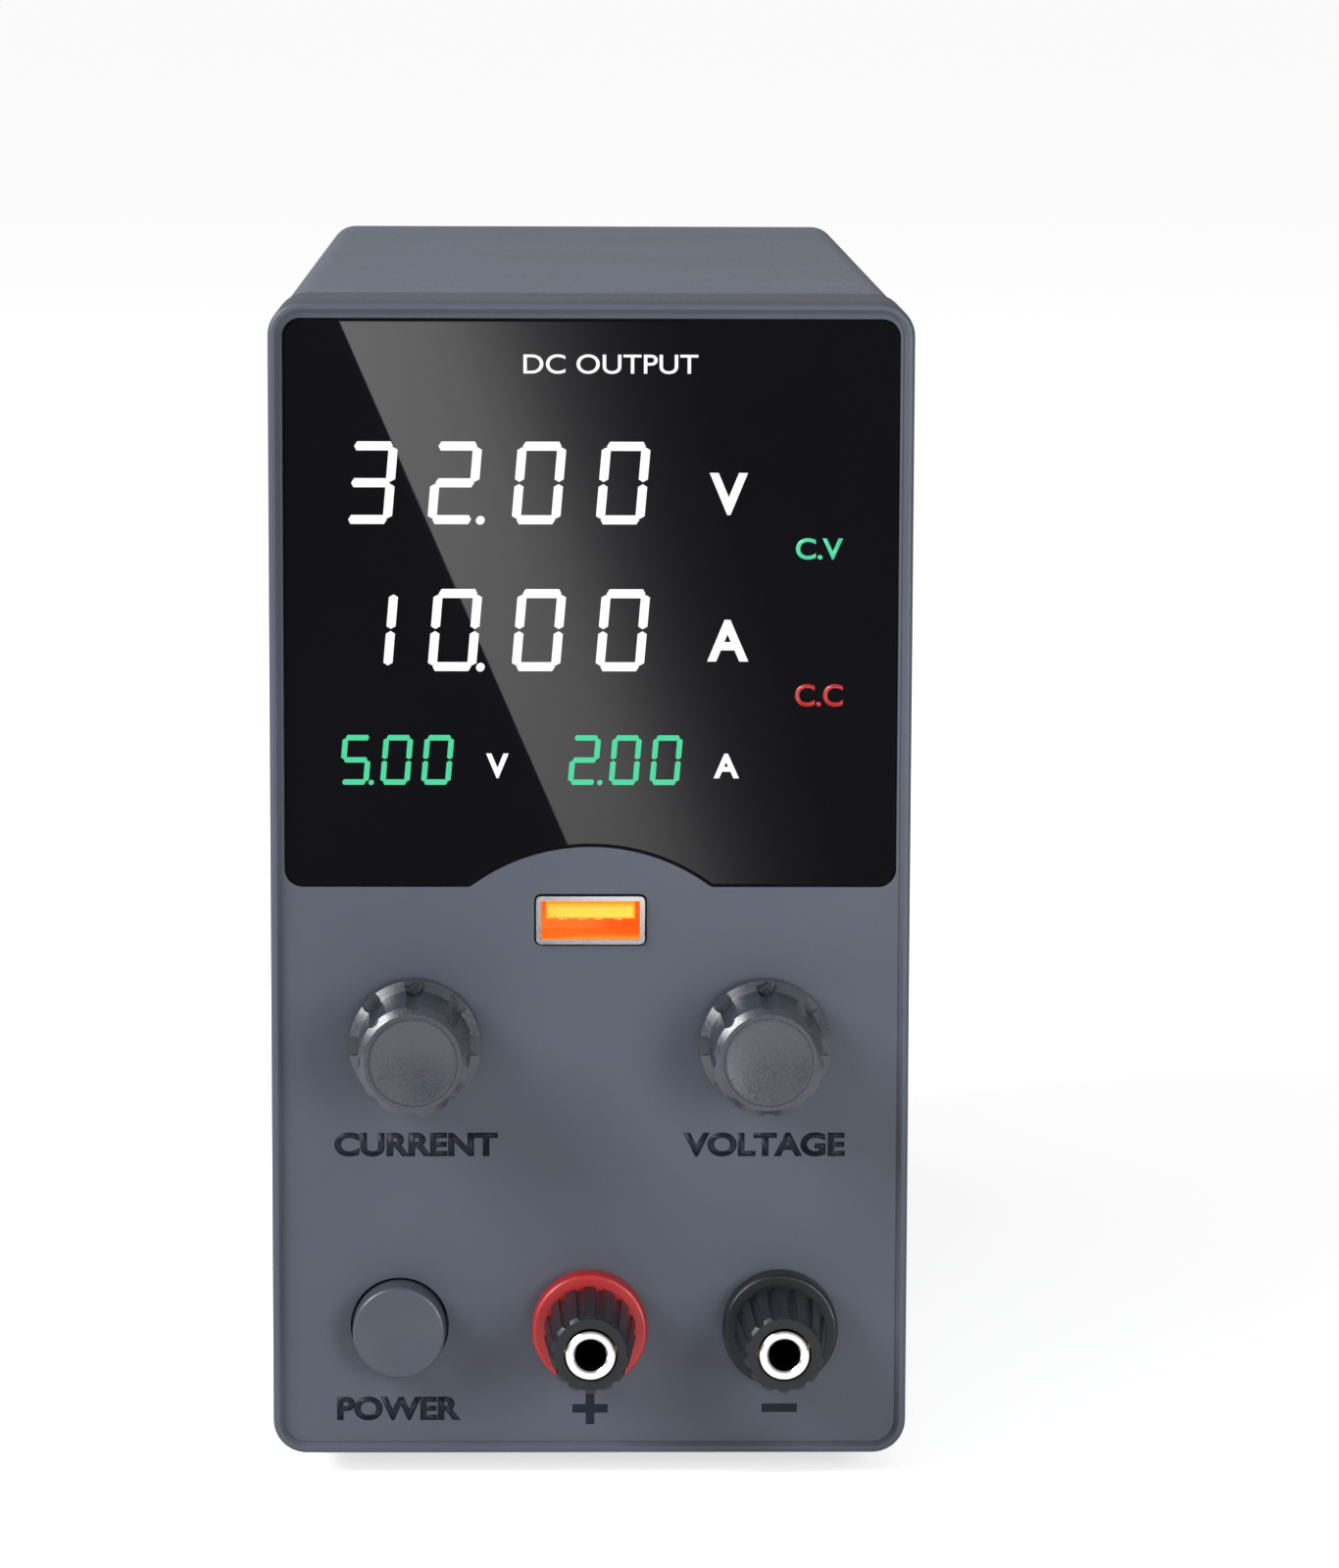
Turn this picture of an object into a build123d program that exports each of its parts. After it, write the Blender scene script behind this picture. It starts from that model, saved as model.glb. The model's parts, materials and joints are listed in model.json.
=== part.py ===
from build123d import *
from math import atan2, cos, degrees, pi, radians, sin
import os

# Whole supply in millimetres: X to the right seen from the front, Y to the back, Z up.
CASE_WIDTH = 80.0
CASE_HEIGHT = 145.6
CASE_DEPTH = 206.4
CORNER_RADIUS = 4.2
FOOT_HEIGHT = 3.0
# How far a cutter reaches past the face it opens
OVERCUT = 1.0
# How far an edge may lie from the place where it is looked for
EDGE_TOLERANCE = 0.01

# Front panel moulding
RIM_WIDTH = 1.3
FACE_RECESS = 0.7
RIM_OUTER_ROUND = 0.6
RIM_INNER_BEVEL = 0.45
PANEL_THICKNESS = 2.6
PANEL_FLANGE = 2.4
PANEL_RIB_DEPTH = 4.0
PANEL_RIB_THICKNESS = 1.5
PANEL_RIB_RISE = 12.2
PANEL_RIB_END_GAP = 1.0
PANEL_FIT = 0.15
BOSS_RADIUS = 2.8
BOARD_BOSS_RADIUS = 2.1
SCREW_PILOT_RADIUS = 0.9
PANEL_SCREW_INSET = 5.6
PANEL_SCREW_TOP_INSET = 5.0
PANEL_BOSS_LENGTH = 4.0

# Ring behind the front panel
FRAME_DEPTH = 20.0
FRAME_WALL = 2.2
GROOVE_WIDTH = 0.5
GROOVE_DEPTH = 0.6
SPIGOT_LENGTH = 7.0
SPIGOT_WALL = 1.6
SPIGOT_ROOT = 4.0
TAB_THICKNESS = 2.0
TAB_SIZE = 7.0
TAB_HOLE_RADIUS = 1.6

# Display window
WINDOW_SIDE_MARGIN = 1.75
WINDOW_TOP_MARGIN = 2.0
WINDOW_CORNER = 2.3
WINDOW_THICKNESS = 1.2
WINDOW_FIT = 0.15
WINDOW_BEVEL = 0.3
NOTCH_HALF_WIDTH = 15.1
NOTCH_RISE = 5.07
NOTCH_END_ROUND = 0.8
LEDGE_SIDE = 4.75
LEDGE_TOP = 6.3
LEDGE_BOTTOM = 9.0
LIGHT_OPENING_CORNER = 2.0

# Display modules behind the window
MODULE_GAP = 0.4
MODULE_DEPTH = 8.0
MODULE_BACK_GAP = 0.1
DIGIT_MODULE_WIDTH = 41.0
DIGIT_MODULE_HEIGHT = 14.5
DIGIT_MODULE_SIDE_GAP = 1.8
DIGIT_MODULE_TOP_GAP = 6.85
DIGIT_ROW_GAP = 3.85
SMALL_MODULE_WIDTH = 17.6
SMALL_MODULE_HEIGHT = 9.4
SMALL_MODULE_SIDE_GAP = 0.5
SMALL_MODULE_SPACING = 10.9
SMALL_ROW_GAP = 4.35
SMALL_ROW_BOTTOM_GAP = 2.35
LAMP_WIDTH = 8.0
LAMP_HEIGHT = 5.0
LAMP_SIDE_GAP = 1.15
LAMP_DROP = 8.1
PIN_ROW_PITCH = 2.54
PIN_ROW_END_GAP = 2.0
PIN_SLOT_END_GAP = 1.5
PIN_SLOT_FIT = 0.3
MODULE_PIN_SIZE = 0.5
MODULE_PIN_LENGTH = 2.6
MODULE_BEZEL_CUT = 0.3
BOARD_SIDE_GAP = 3.3
BOARD_BOSS_INSET = 5.1
DISPLAY_BOARD_TOP_GAP = 2.7
DISPLAY_BOARD_BOTTOM_GAP = 1.5
DISPLAY_BOSS_HIGH_DROP = 4.1
DISPLAY_BOSS_LOW_DROP = 6.85
BOARD_THICKNESS = 1.6
BOARD_HOLE_RADIUS = 1.1

# Outlet for charging, in the middle under the window
USB_WINDOW_GAP = 1.115
USB_WIDTH = 13.6
USB_TALL = 6.07
USB_SHELL_WALL = 0.6
USB_SHELL_ROUND = 0.6
USB_FRONT = 0.3
USB_SLOT_GAP = 0.25
USB_TONGUE_WIDTH = 11.2
USB_TONGUE_THICKNESS = 1.9
USB_TONGUE_DROP = 0.95
USB_TONGUE_FRONT = 1.6
USB_TONGUE_EDGE = 0.3
USB_BACK_THICKNESS = 3.0
USB_FIT = 0.1
USB_CONTACT_WIDTH = 1.0
USB_CONTACT_THICKNESS = 0.25
USB_CONTACT_REACH = 6.6
USB_CONTACT_SETBACK = 0.6
USB_CONTACT_INNER_PITCH = 1.0
USB_CONTACT_OUTER_PITCH = 3.5

# Control board and potentiometers
CONTROL_BOARD_RISE = 15.1
CONTROL_BOARD_TOP_LAP = 3.5
CONTROL_BOSS_LOW_RISE = 5.5
CONTROL_BOSS_HIGH_DROP = 8.0
KNOB_SIDE_GAP = 18.05
KNOB_RISE = 8.33
POT_BODY_RADIUS = 8.2
POT_BODY_DEPTH = 9.0
POT_TERMINAL_WIDTH = 13.0
POT_TERMINAL_DROP = 12.0
POT_TERMINAL_DEPTH = 2.2
BUSHING_RADIUS = 3.5
BUSHING_REACH = 5.5
BUSHING_HOLE_FIT = 0.2
SHAFT_RADIUS = 3.0
SHAFT_FIT = 0.05
SHAFT_FRONT = 11.0
SHAFT_ROOT = 1.3
SHAFT_END_GAP = 0.4
SHAFT_FLAT_DEPTH = 1.5
SHAFT_FLAT_LENGTH = 7.0
SHAFT_FLAT_OVERWIDTH = 0.5
NUT_ACROSS_FLATS = 10.0
NUT_THICKNESS = 2.0

# Knobs
KNOB_HEIGHT = 14.0
KNOB_GAP = 0.5
KNOB_SKIRT_RADIUS = 8.25
KNOB_SKIRT_THICKNESS = 1.8
KNOB_SKIRT_SLOPE = 0.7
KNOB_GRIP_RADIUS = 7.1
KNOB_GRIP_TAPER = 0.25
KNOB_EDGE_BEVEL = 0.75
KNOB_RING_RADIUS = 6.05
KNOB_DISH_RADIUS = 5.5
KNOB_DISH_DEPTH = 1.1
KNOB_ROOM_RADIUS = 6.2
KNOB_ROOM_DEPTH = 4.4
KNOB_BORE_END_GAP = 0.3
KNOB_KEY_END_GAP = 0.6
KNOB_KEY_LAP = 0.3
KNOB_GROOVES = 8
KNOB_GROOVE_RADIUS = 1.25
KNOB_GROOVE_OFFSET = 0.62
KNOB_CAP_FIT = 0.05
KNOB_CAP_THICKNESS = 1.0
KNOB_CAP_DISH = 0.35
KNOB_CAP_EDGE = 0.3

# Power button and its latching switch
LOW_ROW_SIDE = 16.0
LOW_ROW_HEIGHT = 16.4
BUTTON_RADIUS = 5.85
BUTTON_HOLE_GAP = 0.35
BUTTON_REACH = 4.3
BUTTON_EDGE_ROUND = 0.5
BUTTON_DISH = 0.45
BUTTON_TRAVEL = 3.0
BUTTON_FLANGE_RADIUS = 7.1
BUTTON_FLANGE_THICKNESS = 1.2
BUTTON_FLANGE_GAP = 0.3
BUTTON_HUB_RADIUS = 3.2
BUTTON_HUB_LENGTH = 3.8
BUTTON_SOCKET_DEPTH = 5.2
SWITCH_PLATE_FRONT = 12.2
SWITCH_PLATE_THICKNESS = 1.0
SWITCH_PLATE_WIDTH = 27.0
SWITCH_PLATE_TALL = 11.0
SWITCH_SCREW_PITCH = 20.0
SWITCH_BODY_WIDTH = 14.0
SWITCH_BODY_TALL = 12.5
SWITCH_BODY_DEPTH = 20.0
SWITCH_ROOM_DEPTH = 8.0
SWITCH_TERMINAL_LENGTH = 5.0
SWITCH_TERMINAL_WIDTH = 3.2
SWITCH_TERMINAL_THICKNESS = 0.8
SWITCH_TERMINAL_X = 3.4
SWITCH_TERMINAL_Z = 3.6
PLUNGER_SIZE = 3.2
PLUNGER_INSIDE = 4.0
PLUNGER_FIT = 0.05
PLUNGER_ROOM_GAP = 0.35

# Binding posts
POST_OUT = 16.6
POST_BORE_RADIUS = 2.0
POST_BORE_DEPTH = 16.1
POST_MOUTH_BEVEL = 0.2
POST_TUBE_RADIUS = 3.05
POST_THREAD_RADIUS = 2.5
POST_REAR_LENGTH = 12.6
POST_WIRE_HOLE_RADIUS = 1.1
POST_WIRE_HOLE_OFFSET = 1.5
COLLAR_RADIUS = 7.25
COLLAR_THICKNESS = 3.2
COLLAR_ROUND = 0.5
COLLAR_NECK_RADIUS = 5.2
COLLAR_NECK_GAP = 0.15
COLLAR_FIT = 0.05
POST_FLUTE_OVERRUN = 2.0
REAR_INSULATOR_THICKNESS = 2.5
POST_CAP_GAP = 0.3
POST_CAP_BASE_RADIUS = 5.8
POST_CAP_TIP_RADIUS = 4.95
POST_CAP_SETBACK = 0.5
POST_CAP_BORE_GAP = 0.3
POST_CAP_EDGE = 0.4
POST_CAP_LOBES = 14
POST_CAP_FLUTE_RADIUS = 0.6
POST_CAP_FLUTE_DEPTH = 0.5
INSERT_WALL = 1.0
INSERT_LENGTH = 5.0
INSERT_SETBACK = 2.4
INSERT_FIT = 0.06
INSERT_THREAD_FIT = 0.09
POST_NUT_ACROSS_FLATS = 8.0
POST_NUT_THICKNESS = 2.8
LUG_THICKNESS = 0.8
LUG_RADIUS = 4.6
LUG_TONGUE_WIDTH = 4.0
LUG_TONGUE_LENGTH = 8.0
LUG_BARREL_RADIUS = 2.2
LUG_BARREL_LENGTH = 4.0
LUG_HOLE_FIT = 0.1
LUG_WIRE_SETBACK = 0.5

# Sheet metal case
COVER_INSET = 0.3
SHEET = 1.0
COVER_FIT = 0.15
COVER_SEAM = 0.2
COVER_BOTTOM = 10.4
BASE_SIDE_HEIGHT = 9.7
JOGGLE_RISE = 0.6
BASE_TAB_TOP = 20.0
BASE_TAB_CLEARANCE = 0.8
BASE_TAB_LAP = 2.0
VENT_COUNT = 12
VENT_PITCH = 7.0
VENT_WIDTH = 3.0
VENT_LENGTH = 46.0
VENT_FIRST = 52.0
VENT_MIDDLE_HEIGHT = 78.0
SIDE_SCREW_HEIGHT = 15.2
SIDE_SCREW_FRONT = 40.0
SIDE_SCREW_REAR_GAP = 30.4
SIDE_SCREW_RADIUS = 1.6
SIDE_SCREW_SINK_RADIUS = 2.6

# Rear panel
REAR_RECESS = 0.5
REAR_PAN_DEPTH = 9.0
GRILLE_RADII = (10.0, 15.6, 21.2)
GRILLE_SLOT = 4.0
GRILLE_SPOKE = 2.6

# Fan
FAN_SIZE = 60.0
FAN_PAN_GAP = 0.6
FAN_DEPTH = 15.0
FAN_BORE_RADIUS = 28.5
FAN_CORNER = 3.5
FAN_SCREW_PITCH = 50.0
FAN_SCREW_RADIUS = 2.15
FAN_WEB = 2.0
FAN_STRUT_WIDTH = 3.2
FAN_STATOR_RADIUS = 13.2
FAN_BUSH_RADIUS = 3.0
FAN_BUSH_LENGTH = 8.0
FAN_BUSH_FLOOR = 0.6
FAN_SHAFT_SETBACK = 1.0
FAN_SHAFT_RADIUS = 1.5
FAN_SHAFT_FIT = 0.08
FAN_HUB_RADIUS = 14.0
FAN_HUB_WALL = 1.2
FAN_HUB_GAP = 0.8
FAN_BACK_GAP = 1.0
FAN_BLADES = 7
FAN_BLADE_THICKNESS = 1.1
FAN_BLADE_ROOT_PITCH = 52.0
FAN_BLADE_TIP_PITCH = 34.0
FAN_TIP_GAP = 0.7
FAN_BLADE_MARGIN = 1.0

# Mains inlet with its fuse drawer
INLET_HEIGHT = 28.0
INLET_FLANGE_WIDTH = 48.0
INLET_FLANGE_TALL = 32.0
INLET_FLANGE_THICKNESS = 2.5
INLET_FLANGE_CORNER = 3.0
INLET_BODY_WIDTH = 29.0
INLET_BODY_TALL = 29.0
INLET_BODY_DEPTH = 20.0
INLET_BODY_FIT = 0.2
INLET_SCREW_PITCH = 40.0
INLET_SCREW_RADIUS = 1.7
SOCKET_RISE = 4.2
SOCKET_WIDTH = 24.6
SOCKET_TALL = 16.6
SOCKET_DEPTH = 16.0
SOCKET_CORNER_CUT = 5.0
INLET_PIN_WIDTH = 2.0
INLET_PIN_TALL = 4.0
INLET_PIN_REACH = 14.0
INLET_PIN_PITCH = 7.0
INLET_PIN_FIT = 0.02
INLET_EARTH_RISE = 2.0
INLET_LIVE_DROP = 2.0
INLET_TERMINAL_LENGTH = 7.0
DRAWER_DROP = 9.6
DRAWER_WIDTH = 22.0
DRAWER_TALL = 6.4
DRAWER_DEPTH = 17.0
DRAWER_GAP = 0.3
DRAWER_TRAY_WALL = 0.9
DRAWER_FACE = 2.0
DRAWER_GRIP = 1.0
DRAWER_GRIP_WIDTH = 7.4
DRAWER_TRAVEL = 12.0
FUSE_RADIUS = 2.4
FUSE_LENGTH = 12.0
FUSE_GAP = 0.3

# Mains voltage selector
SELECTOR_GAP = 1.0
SELECTOR_WIDTH = 34.0
SELECTOR_TALL = 12.0
SELECTOR_DEPTH = 9.0
SELECTOR_SLOT_WIDTH = 15.0
SELECTOR_SLOT_TALL = 6.2
SELECTOR_SLOT_DEPTH = 5.0
SLIDER_WIDTH = 9.6
SLIDER_GAP = 0.3
SLIDER_TRAVEL = 4.8
SLIDER_SETBACK = 0.4
SLIDER_NOTCH = 1.2

# Main board and what stands on it
MAIN_BOARD_SIDE_GAP = 5.0
MAIN_BOARD_FRONT = 40.0
MAIN_BOARD_REAR_GAP = 30.4
COMPONENT_GAP = 2.0
COMPONENT_EDGE_GAP = 1.5
STANDOFF_HEIGHT = 8.0
STANDOFF_RADIUS = 3.0
STANDOFF_HOLE_RADIUS = 1.4
STANDOFF_SIDE_MARGIN = 4.0
STANDOFF_END_MARGIN = 5.0
SINK_WALL_GAP = 9.0
SINK_PLATE_THICKNESS = 3.0
SINK_FIN_LENGTH = 7.0
SINK_FIN_THICKNESS = 1.4
SINK_FIN_PITCH = 6.6
SINK_FIN_LAP = 0.1
SINK_HEIGHT = 48.0
SINK_FRONT_MARGIN = 10.0
SINK_REAR_MARGIN = 10.0
SINK_GAP = 4.0
SINK_CHIPS = 2
CHIP_WIDTH = 15.8
CHIP_TALL = 20.6
CHIP_THICKNESS = 4.8
CHIP_LIFT = 12.0
CHIP_GAP = 2.2
CHIP_LEG_SIZE = 1.0
CHIP_LEG_PITCH = 5.4
BRIDGE_WIDTH = 20.0
BRIDGE_TALL = 18.0
CORE_WIDTH = 35.0
CORE_TALL = 34.0
CORE_THICKNESS = 13.0
CORE_LEG = 6.0
WINDING_SWELL = 5.5
WINDING_CORNER = 4.5
WINDING_GAP = 0.3
BIG_CAP_RADIUS = 9.0
BIG_CAP_TALL = 40.0
BIG_CAP_COUNT = 2
SMALL_CAP_RADIUS = 5.1
SMALL_CAP_TALL = 22.0
SMALL_CAP_COUNT = 3
SMALL_CAP_FRONT_GAP = 8.9
CAP_NECK_DEPTH = 0.5
CAP_NECK_DROP = 3.0
CAP_EDGE = 0.8
CHOKE_OUTER_RADIUS = 9.0
CHOKE_INNER_RADIUS = 3.6
CHOKE_TALL = 10.0
CHOKE_TURNS = 12
CHOKE_WIRE = 0.9
CHOKE_TURN_WIDTH = 1.4
FILTER_END_GAP = 4.0
FILTER_WIDTH = 26.0
FILTER_CORE_LENGTH = 5.5
FILTER_TALL = 17.0
FILTER_RAIL = 5.6
FILTER_SPACE = 13.0
FILTER_COIL_RADIUS = 5.5
FILTER_COIL_SPACING = 16.6
FILTER_COIL_END_GAP = 2.0

# Wires inside
OUTPUT_WIRE_RADIUS = 1.4
OUTPUT_WIRE_LANDING = 45.5
OUTPUT_WIRE_TOP = 29.3
OUTPUT_WIRE_BEND = 4.0
MAINS_WIRE_RADIUS = 1.1
MAINS_WIRE_WALL_GAP = 5.4
MAINS_WIRE_BEND = 4.5
MAINS_WIRE_RISE = 2.6
MAINS_WIRE_START_GAP = 0.2
MAINS_WIRE_STRAIGHT = 1.0
RIBBON_WIDTH = 16.0
RIBBON_THICKNESS = 0.9
RIBBON_X = -6.0
RIBBON_BEND = 3.0
RIBBON_LANDING = 48.0
RIBBON_RISE = 4.5

# Feet
FOOT_RADIUS = 6.0
FOOT_TAPER = 0.8
FOOT_RECESS_RADIUS = 2.6
FOOT_RECESS_DEPTH = 1.4
FOOT_SIDE_GAP = 13.0
FOOT_FRONT = 36.0
FOOT_REAR_GAP = 18.4

# Positions that follow from the sizes above
POST_REACH = POST_OUT - FACE_RECESS
REAR_FACE = CASE_DEPTH - REAR_RECESS
REAR_REACH = INLET_FLANGE_THICKNESS - REAR_RECESS
FRONT_Y = (POST_REACH - CASE_DEPTH - REAR_REACH) / 2
PANEL_BACK = FACE_RECESS + PANEL_THICKNESS
CASE_MIDDLE = CASE_HEIGHT / 2
INNER_INSET = COVER_INSET + SHEET + COVER_FIT
REAR_INNER = REAR_FACE - SHEET
WINDOW_BACK = FACE_RECESS + WINDOW_THICKNESS
WINDOW_WIDTH = CASE_WIDTH - 2 * WINDOW_SIDE_MARGIN
WINDOW_TOP = CASE_HEIGHT - WINDOW_TOP_MARGIN
LIGHT_OPENING_WIDTH = WINDOW_WIDTH - 2 * LEDGE_SIDE
LIGHT_OPENING_TOP = WINDOW_TOP - LEDGE_TOP
VOLTAGE_ROW_HEIGHT = LIGHT_OPENING_TOP - DIGIT_MODULE_TOP_GAP - DIGIT_MODULE_HEIGHT / 2
CURRENT_ROW_HEIGHT = VOLTAGE_ROW_HEIGHT - DIGIT_MODULE_HEIGHT - DIGIT_ROW_GAP
SMALL_ROW_TOP = CURRENT_ROW_HEIGHT - DIGIT_MODULE_HEIGHT / 2 - SMALL_ROW_GAP
SMALL_ROW_HEIGHT = SMALL_ROW_TOP - SMALL_MODULE_HEIGHT / 2
LIGHT_OPENING_BOTTOM = SMALL_ROW_TOP - SMALL_MODULE_HEIGHT - SMALL_ROW_BOTTOM_GAP
WINDOW_BOTTOM = LIGHT_OPENING_BOTTOM - LEDGE_BOTTOM
DIGIT_MODULE_X = (DIGIT_MODULE_WIDTH - LIGHT_OPENING_WIDTH) / 2 + DIGIT_MODULE_SIDE_GAP
SMALL_MODULE_VOLT_X = (SMALL_MODULE_WIDTH - LIGHT_OPENING_WIDTH) / 2 + SMALL_MODULE_SIDE_GAP
SMALL_MODULE_AMP_X = SMALL_MODULE_VOLT_X + SMALL_MODULE_WIDTH + SMALL_MODULE_SPACING
LAMP_X = (LIGHT_OPENING_WIDTH - LAMP_WIDTH) / 2 - LAMP_SIDE_GAP
MODULE_FRONT = WINDOW_BACK + MODULE_GAP
DISPLAY_BOARD_FRONT = MODULE_FRONT + MODULE_DEPTH + MODULE_BACK_GAP
DISPLAY_BOARD_TOP = LIGHT_OPENING_TOP - DISPLAY_BOARD_TOP_GAP
DISPLAY_BOARD_BOTTOM = LIGHT_OPENING_BOTTOM - DISPLAY_BOARD_BOTTOM_GAP
DISPLAY_BOSS_HIGH = DISPLAY_BOARD_TOP - DISPLAY_BOSS_HIGH_DROP
DISPLAY_BOSS_LOW = CURRENT_ROW_HEIGHT - DISPLAY_BOSS_LOW_DROP
BOARD_WIDTH = CASE_WIDTH - 2 * BOARD_SIDE_GAP
BOARD_BOSS_X = CASE_WIDTH / 2 - BOARD_BOSS_INSET
USB_HEIGHT = WINDOW_BOTTOM - USB_WINDOW_GAP - USB_TALL / 2
CONTROL_BOARD_FRONT = PANEL_BACK + POT_BODY_DEPTH
CONTROL_BOARD_BOTTOM = LOW_ROW_HEIGHT + CONTROL_BOARD_RISE
CONTROL_BOARD_TOP = WINDOW_BOTTOM + CONTROL_BOARD_TOP_LAP
CONTROL_BOSS_LOW = CONTROL_BOARD_BOTTOM + CONTROL_BOSS_LOW_RISE
CONTROL_BOSS_HIGH = CONTROL_BOARD_TOP - CONTROL_BOSS_HIGH_DROP
KNOB_X = CASE_WIDTH / 2 - KNOB_SIDE_GAP
KNOB_CENTRE_HEIGHT = (LOW_ROW_HEIGHT + WINDOW_BOTTOM) / 2 + KNOB_RISE
BUTTON_X = LOW_ROW_SIDE - CASE_WIDTH / 2
POST_X = (0.0, CASE_WIDTH / 2 - LOW_ROW_SIDE)
KNOB_BACK = FACE_RECESS - KNOB_GAP
KNOB_FRONT = FACE_RECESS - KNOB_HEIGHT
POST_TIP = FACE_RECESS - POST_OUT
COLLAR_FRONT = FACE_RECESS - COLLAR_THICKNESS
INSULATOR_BACK = PANEL_BACK + REAR_INSULATOR_THICKNESS
LUG_FRONT = INSULATOR_BACK + POST_NUT_THICKNESS
INSERT_INNER = POST_TUBE_RADIUS + INSERT_THREAD_FIT
INSERT_OUTER = INSERT_INNER + INSERT_WALL
FLOOR_TOP = COVER_INSET + SHEET
BOARD_BOTTOM = FLOOR_TOP + STANDOFF_HEIGHT
BOARD_TOP = BOARD_BOTTOM + BOARD_THICKNESS
MAIN_BOARD_WIDTH = CASE_WIDTH - 2 * MAIN_BOARD_SIDE_GAP
MAIN_BOARD_END = CASE_DEPTH - MAIN_BOARD_REAR_GAP
STANDOFF_X = MAIN_BOARD_WIDTH / 2 - STANDOFF_SIDE_MARGIN
SINK_PLATE_X = SINK_WALL_GAP + SINK_FIN_LENGTH + SINK_PLATE_THICKNESS / 2 - CASE_WIDTH / 2
CHIP_PITCH = CHIP_WIDTH + CHIP_GAP
OUTPUT_SINK_START = MAIN_BOARD_FRONT + SINK_FRONT_MARGIN
OUTPUT_SINK_END = OUTPUT_SINK_START + SINK_CHIPS * CHIP_PITCH
MAINS_SINK_START = OUTPUT_SINK_END + SINK_GAP
MAINS_SINK_END = MAIN_BOARD_END - SINK_REAR_MARGIN
BRIDGE_DEPTH = MAINS_SINK_START + SINK_CHIPS * CHIP_PITCH + (CHIP_GAP + BRIDGE_WIDTH) / 2
COMPONENT_RIGHT = MAIN_BOARD_WIDTH / 2 - COMPONENT_EDGE_GAP
SMALL_CAP_DEPTH = MAIN_BOARD_FRONT + SMALL_CAP_FRONT_GAP + SMALL_CAP_RADIUS
CHOKE_DEPTH = SMALL_CAP_DEPTH + SMALL_CAP_RADIUS + COMPONENT_GAP + CHOKE_OUTER_RADIUS
CHOKE_X = COMPONENT_RIGHT - CHOKE_OUTER_RADIUS
FILTER_X = COMPONENT_RIGHT - FILTER_WIDTH / 2
FILTER_DEPTH = MAIN_BOARD_END - FILTER_END_GAP - FILTER_COIL_RADIUS
BIG_CAP_DEPTH = FILTER_DEPTH - FILTER_COIL_RADIUS - COMPONENT_GAP - BIG_CAP_RADIUS
TRANSFORMER_X = COMPONENT_RIGHT - CORE_WIDTH / 2
WINDING_LENGTH = CORE_THICKNESS + 2 * WINDING_SWELL
TRANSFORMER_DEPTH = BIG_CAP_DEPTH - BIG_CAP_RADIUS - COMPONENT_GAP - WINDING_LENGTH / 2
SIDE_SCREW_REAR = CASE_DEPTH - SIDE_SCREW_REAR_GAP
SIDE_SCREW_DEPTHS = (
    SIDE_SCREW_FRONT, (SIDE_SCREW_FRONT + SIDE_SCREW_REAR) / 2, SIDE_SCREW_REAR
)
FOOT_X = CASE_WIDTH / 2 - FOOT_SIDE_GAP
FOOT_DEPTHS = (FOOT_FRONT, CASE_DEPTH - FOOT_REAR_GAP)
MAINS_WIRE_X = MAINS_WIRE_WALL_GAP - CASE_WIDTH / 2
RIBBON_TOP = CONTROL_BOARD_BOTTOM + RIBBON_RISE
FAN_FRONT = REAR_INNER - FAN_DEPTH
FAN_HEIGHT = CASE_HEIGHT - INNER_INSET - SHEET - FAN_PAN_GAP - FAN_SIZE / 2
INLET_BACK = REAR_FACE - INLET_BODY_DEPTH
INLET_FACE = REAR_FACE + INLET_FLANGE_THICKNESS
SOCKET_HEIGHT = INLET_HEIGHT + SOCKET_RISE
DRAWER_HEIGHT = INLET_HEIGHT - DRAWER_DROP
SELECTOR_HEIGHT = INLET_HEIGHT + (INLET_FLANGE_TALL + SELECTOR_TALL) / 2 + SELECTOR_GAP


def front_plane(depth):
    # Plane facing the user at a depth behind the rim, with its origin at the case's lower edge.
    return Plane(origin=(0, FRONT_Y + depth, FOOT_HEIGHT), x_dir=(1, 0, 0), z_dir=(0, -1, 0))


def slab(outline, start, stop):
    # Outline seen from the front, solid between two depths.
    return extrude(front_plane(start) * outline, amount=stop - start, dir=(0, 1, 0))


def spot(x, height):
    return Pos(x, height)


def block(x, height, width, tall, start, stop):
    return slab(spot(x, height) * Rectangle(width, tall), start, stop)


def rod(x, height, radius, start, stop):
    return slab(spot(x, height) * Circle(radius), start, stop)


def turned(points, x, height):
    # Profile of (radius, depth) points turned about a front-to-back axis.
    solid = revolve(Polygon(*points, align=None), axis=Axis.Y)
    return Pos(x, FRONT_Y, FOOT_HEIGHT + height) * solid


def rounded_front(solid, depth, radius):
    # Rounds the outer edge of the front face of a turned piece.
    front = FRONT_Y + depth
    rim = solid.edges().filter_by_position(Axis.Y, front, front).sort_by(SortBy.LENGTH)[-1]
    return fillet(rim, radius)


def upright(points, x, depth, height):
    # Profile of (radius, rise) points turned about a vertical axis.
    solid = revolve(Plane.XZ * Polygon(*points, align=None), axis=Axis.Z)
    return Pos(x, FRONT_Y + depth, FOOT_HEIGHT + height) * solid


def standing_block(x, depth, width, length, low, high):
    # Box given by its middle in plan and by its lower and upper heights.
    place = Pos(x, FRONT_Y + depth, FOOT_HEIGHT + (low + high) / 2)
    return place * Box(width, length, high - low)


def standing_rod(x, depth, radius, low, high):
    place = Pos(x, FRONT_Y + depth, FOOT_HEIGHT + (low + high) / 2)
    return place * Cylinder(radius, high - low)


def dish_ball(x, height, radius, sag, front):
    # Large ball in front of a face, whose cap sinks into it as a shallow dish.
    ball = (radius**2 + sag**2) / (2 * sag)
    return Pos(x, FRONT_Y + front + sag - ball, FOOT_HEIGHT + height) * Sphere(ball)


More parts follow.
